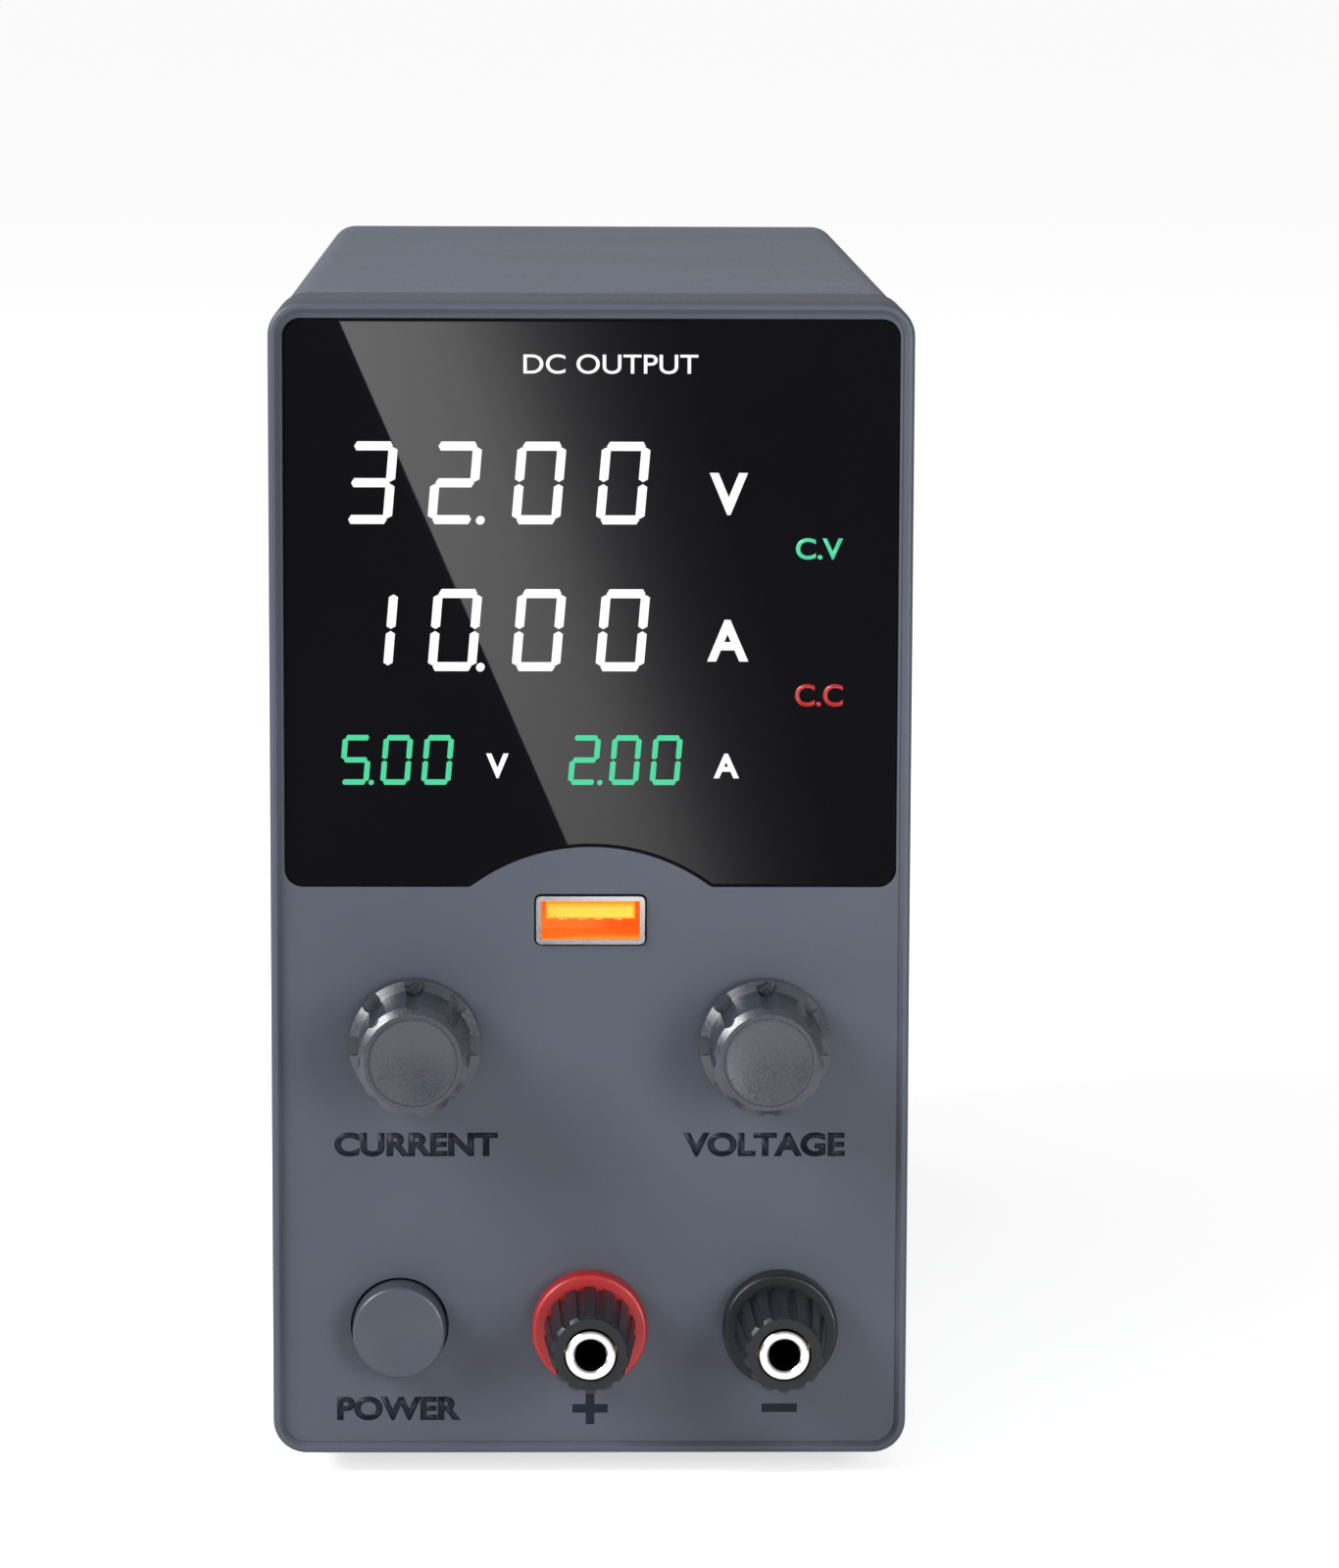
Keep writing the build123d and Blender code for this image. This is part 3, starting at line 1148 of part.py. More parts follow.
def post_lugs():
    # Ring terminals whose crimped barrels point upwards.
    lugs = Part()
    back = LUG_FRONT + LUG_THICKNESS
    for x in POST_X:
        tongue_middle = LOW_ROW_HEIGHT + LUG_RADIUS
        outline = spot(x, LOW_ROW_HEIGHT) * Circle(LUG_RADIUS)
        outline += spot(x, tongue_middle) * Rectangle(LUG_TONGUE_WIDTH, LUG_TONGUE_LENGTH)
        outline -= spot(x, LOW_ROW_HEIGHT) * Circle(POST_THREAD_RADIUS + LUG_HOLE_FIT)
        lug = slab(outline, LUG_FRONT, back)
        low = lug_barrel_base()
        axis_depth = LUG_FRONT + LUG_BARREL_RADIUS
        barrel = standing_rod(x, axis_depth, LUG_BARREL_RADIUS, low, low + LUG_BARREL_LENGTH)
        lug += barrel
        lug -= standing_rod(
            x, axis_depth, OUTPUT_WIRE_RADIUS + LUG_HOLE_FIT,
            low - OVERCUT, low + LUG_BARREL_LENGTH + OVERCUT,
        )
        lugs += lug
    return lugs


# Sheet metal case
def side_slots():
    cutters = Part()
    for index in range(VENT_COUNT):
        depth = VENT_FIRST + index * VENT_PITCH
        outline = Rot(0, 0, 90) * SlotOverall(VENT_LENGTH, VENT_WIDTH)
        plane = Plane(
            origin=(0, FRONT_Y + depth, FOOT_HEIGHT + VENT_MIDDLE_HEIGHT),
            x_dir=(0, 1, 0), z_dir=(1, 0, 0),
        )
        cutters += extrude(plane * outline, amount=CASE_WIDTH, both=True)
    return cutters


def side_screw_holes(radius):
    cutters = Part()
    for depth in SIDE_SCREW_DEPTHS:
        cutters += cross_rod(depth, SIDE_SCREW_HEIGHT, radius, 2 * CASE_WIDTH)
    return cutters


def top_cover():
    start = FRAME_DEPTH + COVER_SEAM
    shell = case_ring(COVER_INSET, COVER_INSET + SHEET, start, CASE_DEPTH)
    low_part = block(
        0, 0, 2 * CASE_WIDTH, 2 * COVER_BOTTOM, start - OVERCUT, CASE_DEPTH + OVERCUT
    )
    return shell - low_part - side_slots() - side_screw_holes(SIDE_SCREW_SINK_RADIUS)


def base_tab(side):
    # Joggled strip that rises inside the cover and takes the side screws.
    outer = CASE_WIDTH / 2 - COVER_INSET
    inner = outer - SHEET
    tab_outer = inner - COVER_FIT
    tab_inner = tab_outer - SHEET
    step = JOGGLE_RISE
    points = [
        (outer, BASE_SIDE_HEIGHT - BASE_TAB_LAP),
        (outer, BASE_SIDE_HEIGHT),
        (tab_outer, BASE_SIDE_HEIGHT + step),
        (tab_outer, BASE_TAB_TOP),
        (tab_inner, BASE_TAB_TOP),
        (tab_inner, BASE_SIDE_HEIGHT + step - SHEET / 2),
        (inner, BASE_SIDE_HEIGHT - SHEET / 2),
        (inner, BASE_SIDE_HEIGHT - BASE_TAB_LAP),
    ]
    outline = Polygon(*[(side * x, height) for x, height in points], align=None)
    start = FRAME_DEPTH + SPIGOT_LENGTH + BASE_TAB_CLEARANCE
    stop = REAR_FACE - REAR_PAN_DEPTH - BASE_TAB_CLEARANCE
    return slab(outline, start, stop)


def foot_places():
    return [(side * FOOT_X, depth) for side in (-1, 1) for depth in FOOT_DEPTHS]


def standoff_places():
    front = MAIN_BOARD_FRONT + STANDOFF_END_MARGIN
    back = MAIN_BOARD_END - STANDOFF_END_MARGIN
    return [(side * STANDOFF_X, depth) for side in (-1, 1) for depth in (front, back)]


def chassis_base():
    start = FRAME_DEPTH + COVER_SEAM
    tray = case_ring(COVER_INSET, COVER_INSET + SHEET, start, CASE_DEPTH)
    tray -= block(
        0, BASE_SIDE_HEIGHT + CASE_HEIGHT, 2 * CASE_WIDTH, 2 * CASE_HEIGHT,
        start - OVERCUT, CASE_DEPTH + OVERCUT,
    )
    tray += base_tab(1)
    tray += base_tab(-1)
    for x, depth in foot_places():
        tray -= standing_rod(x, depth, TAB_HOLE_RADIUS, -OVERCUT, FLOOR_TOP + OVERCUT)
    for x, depth in standoff_places():
        tray -= standing_rod(x, depth, STANDOFF_HOLE_RADIUS, -OVERCUT, FLOOR_TOP + OVERCUT)
    return tray - side_screw_holes(SIDE_SCREW_RADIUS)


def foot_solids():
    # Rubber feet; their plugs are held by screws from inside.
    feet = Part()
    for x, depth in foot_places():
        top = FOOT_HEIGHT + COVER_INSET
        points = [
            (0, FOOT_RECESS_DEPTH),
            (FOOT_RECESS_RADIUS, FOOT_RECESS_DEPTH),
            (FOOT_RECESS_RADIUS, 0),
            (FOOT_RADIUS - FOOT_TAPER, 0),
            (FOOT_RADIUS, top),
            (0, top),
        ]
        feet += upright(points, x, depth, -FOOT_HEIGHT)
    return feet


# Rear panel with the punched fan grille
def grille_slots():
    outline = Sketch()
    for radius in GRILLE_RADII:
        outline += Circle(radius + GRILLE_SLOT) - Circle(radius)
    span = 4 * FAN_BORE_RADIUS
    for angle in (45, 135):
        outline -= Rot(0, 0, angle) * Rectangle(span, GRILLE_SPOKE)
    return slab(spot(0, FAN_HEIGHT) * outline, REAR_INNER - OVERCUT, REAR_FACE + OVERCUT)


def rear_panel():
    start = REAR_FACE - REAR_PAN_DEPTH
    pan = slab(case_outline(INNER_INSET), start, REAR_FACE)
    pan -= slab(case_outline(INNER_INSET + SHEET), start - OVERCUT, REAR_INNER)
    pan -= grille_slots()
    through = REAR_INNER - OVERCUT, REAR_FACE + OVERCUT
    half = FAN_SCREW_PITCH / 2
    for x_side in (-1, 1):
        for z_side in (-1, 1):
            pan -= rod(x_side * half, FAN_HEIGHT + z_side * half, FAN_SCREW_RADIUS, *through)
        pan -= rod(x_side * INLET_SCREW_PITCH / 2, INLET_HEIGHT, INLET_SCREW_RADIUS, *through)
    pan -= block(
        0, INLET_HEIGHT, INLET_BODY_WIDTH + 2 * INLET_BODY_FIT,
        INLET_BODY_TALL + 2 * INLET_BODY_FIT, *through,
    )
    pan -= block(0, SELECTOR_HEIGHT, SELECTOR_SLOT_WIDTH, SELECTOR_SLOT_TALL, *through)
    return pan


# Fan
def fan_frame():
    outline = spot(0, FAN_HEIGHT) * RectangleRounded(FAN_SIZE, FAN_SIZE, FAN_CORNER)
    frame = slab(outline, FAN_FRONT, REAR_INNER)
    through = FAN_FRONT - OVERCUT, REAR_INNER + OVERCUT
    frame -= rod(0, FAN_HEIGHT, FAN_BORE_RADIUS, *through)
    half = FAN_SCREW_PITCH / 2
    for x_side in (-1, 1):
        for z_side in (-1, 1):
            frame -= rod(x_side * half, FAN_HEIGHT + z_side * half, FAN_SCREW_RADIUS, *through)
    web_end = FAN_FRONT + FAN_WEB
    spider = spot(0, FAN_HEIGHT) * Circle(FAN_STATOR_RADIUS)
    for angle in (20, 110):
        strut = Rot(0, 0, angle) * Rectangle(FAN_BORE_RADIUS + FAN_SIZE / 2, FAN_STRUT_WIDTH)
        spider += spot(0, FAN_HEIGHT) * strut
    frame += slab(spider, FAN_FRONT, web_end)
    bush_end = web_end + FAN_BUSH_LENGTH
    frame += rod(0, FAN_HEIGHT, FAN_BUSH_RADIUS, web_end, bush_end)
    shaft_room = FAN_SHAFT_RADIUS + FAN_SHAFT_FIT
    floor = FAN_FRONT + FAN_BUSH_FLOOR
    return frame - rod(0, FAN_HEIGHT, shaft_room, floor, bush_end + OVERCUT)


def fan_blade(index):
    # Twisted blade lofted from the hub to the tip, then trimmed round.
    start = FAN_FRONT + FAN_WEB + FAN_HUB_GAP
    stop = REAR_INNER - FAN_BACK_GAP
    blade_depth = stop - start - FAN_BLADE_MARGIN
    root_radius = FAN_HUB_RADIUS - FAN_HUB_WALL / 2
    tip_radius = FAN_BORE_RADIUS
    sections = Sketch()
    for radius, pitch in ((root_radius, FAN_BLADE_ROOT_PITCH), (tip_radius, FAN_BLADE_TIP_PITCH)):
        chord = blade_depth / sin(radians(pitch)) - FAN_BLADE_THICKNESS
        plane = Plane(origin=(radius, 0, 0), x_dir=(0, 1, 0), z_dir=(1, 0, 0))
        outline = Rot(0, 0, 90 - pitch) * Rectangle(chord, FAN_BLADE_THICKNESS)
        sections += plane * outline
    blade = loft(sections.faces())
    trim = Rot(90, 0, 0) * (
        Cylinder(FAN_BORE_RADIUS - FAN_TIP_GAP, 2 * FAN_DEPTH) - Cylinder(root_radius, 3 * FAN_DEPTH)
    )
    blade = blade & trim
    middle = (start + stop) / 2
    place = Pos(0, FRONT_Y + middle, FOOT_HEIGHT + FAN_HEIGHT)
    return place * Rot(0, 360 * index / FAN_BLADES, 0) * blade


def fan_rotor():
    start = FAN_FRONT + FAN_WEB + FAN_HUB_GAP
    stop = REAR_INNER - FAN_BACK_GAP
    hub = rod(0, FAN_HEIGHT, FAN_HUB_RADIUS, start, stop)
    inside = FAN_HUB_RADIUS - FAN_HUB_WALL
    hub -= rod(0, FAN_HEIGHT, inside, start - OVERCUT, stop - FAN_HUB_WALL)
    shaft_start = FAN_FRONT + FAN_SHAFT_SETBACK
    hub += rod(0, FAN_HEIGHT, FAN_SHAFT_RADIUS, shaft_start, stop - FAN_HUB_WALL / 2)
    for index in range(FAN_BLADES):
        hub += fan_blade(index)
    return hub


# Mains inlet
def socket_outline():
    half = SOCKET_WIDTH / 2
    tall = SOCKET_TALL / 2
    cut = SOCKET_CORNER_CUT
    points = [
        (-half, -tall), (half, -tall), (half, tall - cut),
        (half - cut, tall), (-half + cut, tall), (-half, tall - cut),
    ]
    return spot(0, SOCKET_HEIGHT) * Polygon(*points, align=None)


def inlet_body():
    flange = spot(0, INLET_HEIGHT) * RectangleRounded(
        INLET_FLANGE_WIDTH, INLET_FLANGE_TALL, INLET_FLANGE_CORNER
    )
    body = slab(flange, REAR_FACE, INLET_FACE)
    body += block(0, INLET_HEIGHT, INLET_BODY_WIDTH, INLET_BODY_TALL, INLET_BACK, REAR_FACE)
    body -= slab(socket_outline(), INLET_FACE - SOCKET_DEPTH, INLET_FACE + OVERCUT)
    tray_width = DRAWER_WIDTH + 2 * DRAWER_GAP
    tray_tall = DRAWER_TALL + 2 * DRAWER_GAP
    tray_end = INLET_FACE - DRAWER_DEPTH - DRAWER_GAP
    body -= block(0, DRAWER_HEIGHT, tray_width, tray_tall, tray_end, INLET_FACE + OVERCUT)
    for side in (-1, 1):
        body -= rod(
            side * INLET_SCREW_PITCH / 2, INLET_HEIGHT, INLET_SCREW_RADIUS,
            REAR_FACE - OVERCUT, INLET_FACE + OVERCUT,
        )
    return body - inlet_blades(INLET_PIN_FIT, INLET_BACK - OVERCUT)


def inlet_blades(grow, start):
    # Three flat blades, the earth in the middle set a little higher.
    blades = Part()
    stop = INLET_FACE - SOCKET_DEPTH + INLET_PIN_REACH
    places = [
        (-INLET_PIN_PITCH, -INLET_LIVE_DROP), (0, INLET_EARTH_RISE),
        (INLET_PIN_PITCH, -INLET_LIVE_DROP),
    ]
    for x, rise in places:
        blades += block(
            x, SOCKET_HEIGHT + rise, INLET_PIN_WIDTH + 2 * grow, INLET_PIN_TALL + 2 * grow,
            start, stop,
        )
    return blades


def inlet_pins():
    return inlet_blades(0, INLET_BACK - INLET_TERMINAL_LENGTH)


def fuse_drawer():
    start = INLET_FACE - DRAWER_DEPTH
    drawer = block(0, DRAWER_HEIGHT, DRAWER_WIDTH, DRAWER_TALL, start, INLET_FACE)
    room_width = DRAWER_WIDTH - 2 * DRAWER_TRAY_WALL
    drawer -= block(
        0, DRAWER_HEIGHT + DRAWER_TRAY_WALL, room_width, DRAWER_TALL,
        start + DRAWER_TRAY_WALL, INLET_FACE - DRAWER_FACE,
    )
    drawer -= block(
        0, DRAWER_HEIGHT + DRAWER_TALL / 2, DRAWER_GRIP_WIDTH, 2 * DRAWER_GRIP,
        INLET_FACE - DRAWER_GRIP, INLET_FACE + OVERCUT,
    )
    return drawer


def fuse():
    # Glass cartridge lying across the drawer with a metal cap at each end.
    depth = INLET_FACE - DRAWER_DEPTH / 2 - DRAWER_FACE / 2
    height = DRAWER_HEIGHT - DRAWER_TALL / 2 + DRAWER_TRAY_WALL + FUSE_GAP / 2 + FUSE_RADIUS
    return cross_rod(depth, height, FUSE_RADIUS, FUSE_LENGTH)


# Mains voltage selector
def selector_body():
    body = block(
        0, SELECTOR_HEIGHT, SELECTOR_WIDTH, SELECTOR_TALL, REAR_INNER - SELECTOR_DEPTH, REAR_INNER
    )
    return body - block(
        0, SELECTOR_HEIGHT, SELECTOR_SLOT_WIDTH, SELECTOR_SLOT_TALL,
        REAR_INNER - SELECTOR_SLOT_DEPTH, REAR_INNER + OVERCUT,
    )


def selector_slider():
    tall = SELECTOR_SLOT_TALL - 2 * SLIDER_GAP
    start = REAR_INNER - SELECTOR_SLOT_DEPTH + SLIDER_GAP
    stop = REAR_FACE - SLIDER_SETBACK
    x = (SELECTOR_SLOT_WIDTH - SLIDER_WIDTH) / 2 - SLIDER_GAP
    slider = block(x, SELECTOR_HEIGHT, SLIDER_WIDTH, tall, start, stop)
    return slider - block(
        x, SELECTOR_HEIGHT, SLIDER_NOTCH, tall + OVERCUT, stop - SLIDER_NOTCH, stop + OVERCUT
    )


# Main board and its components
def main_board():
    middle = (MAIN_BOARD_FRONT + MAIN_BOARD_END) / 2
    length = MAIN_BOARD_END - MAIN_BOARD_FRONT
    board = standing_block(0, middle, MAIN_BOARD_WIDTH, length, BOARD_BOTTOM, BOARD_TOP)
    low = BOARD_BOTTOM - OVERCUT
    high = BOARD_TOP + OVERCUT
    for x, depth in standoff_places():
        board -= standing_rod(x, depth, STANDOFF_HOLE_RADIUS, low, high)
    return board


def standoffs():
    pillars = Part()
    for x, depth in standoff_places():
        pillar = standing_rod(x, depth, STANDOFF_RADIUS, FLOOR_TOP, BOARD_BOTTOM)
        pillars += pillar - standing_rod(
            x, depth, STANDOFF_HOLE_RADIUS, FLOOR_TOP - OVERCUT, BOARD_BOTTOM + OVERCUT
        )
    return pillars


def heat_sink(start, end):
    # Upright plate with fins on the side that faces the vents.
    middle = (start + end) / 2
    length = end - start
    top = BOARD_TOP + SINK_HEIGHT
    sink = standing_block(
        SINK_PLATE_X, middle, SINK_PLATE_THICKNESS, length, BOARD_TOP, top
    )
    fin_middle = SINK_PLATE_X - SINK_PLATE_THICKNESS / 2 - SINK_FIN_LENGTH / 2
    count = int((length - SINK_FIN_THICKNESS) / SINK_FIN_PITCH) + 1
    first = middle - (count - 1) * SINK_FIN_PITCH / 2
    for index in range(count):
        sink += standing_block(
            fin_middle, first + index * SINK_FIN_PITCH,
            SINK_FIN_LENGTH + 2 * SINK_FIN_LAP, SINK_FIN_THICKNESS, BOARD_TOP, top,
        )
    return sink


def heat_sinks():
    output = heat_sink(OUTPUT_SINK_START, OUTPUT_SINK_END)
    return output + heat_sink(MAINS_SINK_START, MAINS_SINK_END)


def flat_package(depth, width, tall, legs, pitch):
    # Flat semiconductor package standing against the sink plate, its legs in the board.
    face = SINK_PLATE_X + SINK_PLATE_THICKNESS / 2
    low = BOARD_TOP + CHIP_LIFT
    x = face + CHIP_THICKNESS / 2
    package = standing_block(x, depth, CHIP_THICKNESS, width, low, low + tall)
    for index in range(legs):
        leg_depth = depth + (index - (legs - 1) / 2) * pitch
        package += standing_block(x, leg_depth, CHIP_LEG_SIZE, CHIP_LEG_SIZE, BOARD_TOP, low)
    return package


def power_transistors():
    chips = Part()
    for start in (OUTPUT_SINK_START, MAINS_SINK_START):
        for index in range(SINK_CHIPS):
            depth = start + (index + 0.5) * CHIP_PITCH
            chips += flat_package(depth, CHIP_WIDTH, CHIP_TALL, 3, CHIP_LEG_PITCH)
    return chips


def bridge_rectifier():
    return flat_package(BRIDGE_DEPTH, BRIDGE_WIDTH, BRIDGE_TALL, 4, CHIP_LEG_PITCH)


def transformer_core():
    low = BOARD_TOP
    high = low + CORE_TALL
    depth = TRANSFORMER_DEPTH
    core = standing_block(TRANSFORMER_X, depth, CORE_WIDTH, CORE_THICKNESS, low, high)
    window = (CORE_WIDTH - 4 * CORE_LEG) / 2
    for side in (-1, 1):
        x = TRANSFORMER_X + side * (CORE_LEG + window / 2)
        core -= standing_block(
            x, depth, window, CORE_THICKNESS + 2 * OVERCUT, low + CORE_LEG, high - CORE_LEG
        )
    return core


def transformer_winding():
    low = BOARD_TOP + CORE_LEG + WINDING_GAP
    high = BOARD_TOP + CORE_TALL - CORE_LEG - WINDING_GAP
    window = (CORE_WIDTH - 4 * CORE_LEG) / 2
    width = 2 * CORE_LEG + 2 * window - 2 * WINDING_GAP
    outline = RectangleRounded(width, WINDING_LENGTH, WINDING_CORNER)
    outline -= Rectangle(2 * CORE_LEG + 2 * WINDING_GAP, CORE_THICKNESS + 2 * WINDING_GAP)
    coil = extrude(outline, amount=high - low)
    place = Pos(TRANSFORMER_X, FRONT_Y + TRANSFORMER_DEPTH, FOOT_HEIGHT + low)
    return place * coil


def can_capacitor(x, depth, radius, tall):
    # Electrolytic can with the crimp groove near its foot.
    points = [
        (0, 0),
        (radius, 0),
        (radius, CAP_NECK_DROP - CAP_NECK_DEPTH),
        (radius - CAP_NECK_DEPTH, CAP_NECK_DROP),
        (radius, CAP_NECK_DROP + CAP_NECK_DEPTH),
        (radius, tall - CAP_EDGE),
        (radius - CAP_EDGE, tall),
        (0, tall),
    ]
    return upright(points, x, depth, BOARD_TOP)


def capacitor_row(count, depth, radius, tall):
    # Cans side by side, counted from the right edge of the board.
    cans = Part()
    for index in range(count):
        x = COMPONENT_RIGHT - radius - index * (2 * radius + COMPONENT_GAP)
        cans += can_capacitor(x, depth, radius, tall)
    return cans


def mains_capacitors():
    return capacitor_row(BIG_CAP_COUNT, BIG_CAP_DEPTH, BIG_CAP_RADIUS, BIG_CAP_TALL)


def output_capacitors():
    return capacitor_row(SMALL_CAP_COUNT, SMALL_CAP_DEPTH, SMALL_CAP_RADIUS, SMALL_CAP_TALL)


def output_choke():
    # Ring core lying flat with its turns of thick wire.
    low = BOARD_TOP + CHOKE_WIRE
    high = low + CHOKE_TALL - 2 * CHOKE_WIRE
    centre = Pos(CHOKE_X, FRONT_Y + CHOKE_DEPTH, FOOT_HEIGHT)
    outer = CHOKE_OUTER_RADIUS - CHOKE_WIRE
    inner = CHOKE_INNER_RADIUS + CHOKE_WIRE
    ring = extrude(Circle(outer) - Circle(inner), amount=high - low)
    choke = Pos(0, 0, low) * ring
    middle = (low + high) / 2
    span = CHOKE_OUTER_RADIUS - CHOKE_INNER_RADIUS
    turn = Pos((CHOKE_OUTER_RADIUS + CHOKE_INNER_RADIUS) / 2, 0, middle)
    turn = turn * Box(span, CHOKE_TURN_WIDTH, CHOKE_TALL)
    for index in range(CHOKE_TURNS):
        choke += Rot(0, 0, 360 * index / CHOKE_TURNS) * turn
    return centre * choke


def mains_filter():
    # Common-mode choke: two coils on a rectangular core.
    low = BOARD_TOP
    top = low + FILTER_TALL
    core = standing_block(FILTER_X, FILTER_DEPTH, FILTER_WIDTH, FILTER_CORE_LENGTH, low, top)
    core -= standing_block(
        FILTER_X, FILTER_DEPTH, FILTER_SPACE, FILTER_CORE_LENGTH + 2 * OVERCUT,
        low + FILTER_RAIL, top - FILTER_RAIL,
    )
    for side in (-1, 1):
        core += standing_rod(
            FILTER_X + side * FILTER_COIL_SPACING / 2, FILTER_DEPTH, FILTER_COIL_RADIUS,
            low + FILTER_COIL_END_GAP, top - FILTER_COIL_END_GAP,
        )
    return core


# Wires
def bent_path(points, bend):
    # Straight runs joined by tangent arcs.
    corners = [Vector(*point) for point in points]
    edges = []
    last = corners[0]
    for index in range(1, len(corners) - 1):
        corner = corners[index]
        before = (corners[index - 1] - corner).normalized()
        after = (corners[index + 1] - corner).normalized()
        half_angle = radians(before.get_angle(after)) / 2
        run = bend / (sin(half_angle) / cos(half_angle))
        start = corner + before * run
        stop = corner + after * run
        toward = (before + after).normalized()
        middle = corner + toward * (bend / sin(half_angle) - bend)
        edges.append(Edge.make_line(last, start))
        edges.append(Edge.make_three_point_arc(start, middle, stop))
        last = stop
    edges.append(Edge.make_line(last, corners[-1]))
    return Wire(edges)


def wire_along(points, bend, outline):
    path = bent_path(points, bend)
    start = Plane(origin=path @ 0, z_dir=path % 0, x_dir=(1, 0, 0))
    return sweep(start * outline, path=path)


def place_point(x, depth, height):
    return (x, FRONT_Y + depth, FOOT_HEIGHT + height)


def output_lead(x):
    axis_depth = LUG_FRONT + LUG_BARREL_RADIUS
    points = [
        place_point(x, axis_depth, lug_barrel_base() + LUG_WIRE_SETBACK),
        place_point(x, axis_depth, OUTPUT_WIRE_TOP),
        place_point(x, OUTPUT_WIRE_LANDING, OUTPUT_WIRE_TOP),
        place_point(x, OUTPUT_WIRE_LANDING, BOARD_TOP),
    ]
    return wire_along(points, OUTPUT_WIRE_BEND, Circle(OUTPUT_WIRE_RADIUS))


def mains_lead(side):
    # From a switch terminal along the left wall back to an inlet terminal.
    switch_back = SWITCH_PLATE_FRONT + SWITCH_PLATE_THICKNESS + SWITCH_BODY_DEPTH
    start_depth = switch_back + SWITCH_TERMINAL_LENGTH + MAINS_WIRE_START_GAP
    height = LOW_ROW_HEIGHT + side * SWITCH_TERMINAL_Z
    start_x = BUTTON_X - SWITCH_TERMINAL_X
    turn_depth = start_depth + MAINS_WIRE_BEND + MAINS_WIRE_STRAIGHT
    end_depth = INLET_BACK - INLET_TERMINAL_LENGTH - MAINS_WIRE_START_GAP
    along_depth = end_depth - MAINS_WIRE_BEND - (2 - side) * MAINS_WIRE_RADIUS
    end_height = SOCKET_HEIGHT - INLET_LIVE_DROP
    points = [
        place_point(start_x, start_depth, height),
        place_point(start_x, turn_depth, height),
        place_point(MAINS_WIRE_X, turn_depth + MAINS_WIRE_BEND, height + MAINS_WIRE_RISE),
        place_point(MAINS_WIRE_X, along_depth - MAINS_WIRE_BEND, height + MAINS_WIRE_RISE),
        place_point(side * INLET_PIN_PITCH, along_depth, end_height),
        place_point(side * INLET_PIN_PITCH, end_depth, end_height),
    ]
    path = bent_path(points, MAINS_WIRE_BEND / 2)
    start = Plane(origin=path @ 0, z_dir=path % 0)
    return sweep(start * Circle(MAINS_WIRE_RADIUS), path=path)


def mains_leads():
    return mains_lead(-1) + mains_lead(1)


def ribbon_cable():
    # Flat cable from the back of the control board down to the main board.
    back = CONTROL_BOARD_FRONT + BOARD_THICKNESS
    points = [
        place_point(RIBBON_X, back, RIBBON_TOP),
        place_point(RIBBON_X, RIBBON_LANDING, RIBBON_TOP),
        place_point(RIBBON_X, RIBBON_LANDING, BOARD_TOP),
    ]
    return wire_along(points, RIBBON_BEND, Rectangle(RIBBON_WIDTH, RIBBON_THICKNESS))


def all_parts():
    plus, minus = POST_X
    return {
        "front_panel": front_panel(),
        "front_frame": front_frame(),
        "display_window": display_window(),
        "voltage_digits": voltage_digits(),
        "current_digits": current_digits(),
        "charging_digits": charging_digits(),
        "mode_lamps": mode_lamps(),
        "display_board": display_board(),
        "usb_shell": usb_shell(),
        "usb_tongue": usb_tongue(),
        "usb_contacts": usb_contacts(),
        "control_board": control_board(),
        "potentiometers": potentiometer(-KNOB_X) + potentiometer(KNOB_X),
        "pot_nuts": pot_nuts(),
        "current_shaft": pot_shaft(-KNOB_X),
        "voltage_shaft": pot_shaft(KNOB_X),
        "current_knob": knob(-KNOB_X),
        "voltage_knob": knob(KNOB_X),
        "current_knob_cap": knob_cap(-KNOB_X),
        "voltage_knob_cap": knob_cap(KNOB_X),
        "power_button": power_button(),
        "switch_plunger": switch_plunger(),
        "switch_plate": switch_plate(),
        "switch_body": switch_body(),
        "plus_collar": post_collar(plus),
        "plus_stud": post_stud(plus),
        "plus_cap": post_cap(plus),
        "plus_insert": post_insert(plus),
        "minus_collar": post_collar(minus),
        "minus_stud": post_stud(minus),
        "minus_cap": post_cap(minus),
        "minus_insert": post_insert(minus),
        "rear_insulators": rear_insulators(),
        "post_nuts": post_nuts(),
        "post_lugs": post_lugs(),
        "top_cover": top_cover(),
        "chassis_base": chassis_base(),
        "feet": foot_solids(),
        "rear_panel": rear_panel(),
        "fan_frame": fan_frame(),
        "fan_rotor": fan_rotor(),
        "inlet_body": inlet_body(),
        "inlet_pins": inlet_pins(),
        "fuse_drawer": fuse_drawer(),
        "fuse": fuse(),
        "selector_body": selector_body(),
        "selector_slider": selector_slider(),
        "main_board": main_board(),
        "standoffs": standoffs(),
        "heat_sinks": heat_sinks(),
        "power_chips": power_transistors() + bridge_rectifier(),
        "transformer_core": transformer_core(),
        "transformer_winding": transformer_winding(),
        "mains_capacitors": mains_capacitors(),
        "output_capacitors": output_capacitors(),
        "output_choke": output_choke(),
        "mains_leads": mains_leads(),
        "output_leads": output_lead(plus) + output_lead(minus),
        "ribbon_cable": ribbon_cable(),
        "mains_filter": mains_filter(),
    }


os.makedirs("parts", exist_ok=True)
for name, solid in all_parts().items():
    export_step(solid, "parts/" + name + ".step")
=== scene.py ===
# %% [markdown]
# # A bench power supply, dressed around its CAD frame
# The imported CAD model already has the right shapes: the moulded front, the
# folded steel case, the knobs, the binding posts and everything inside. This
# lesson keeps those shapes and adds what a CAD model lacks: finishes, lit
# digits, printed marks, screws, light and a camera.

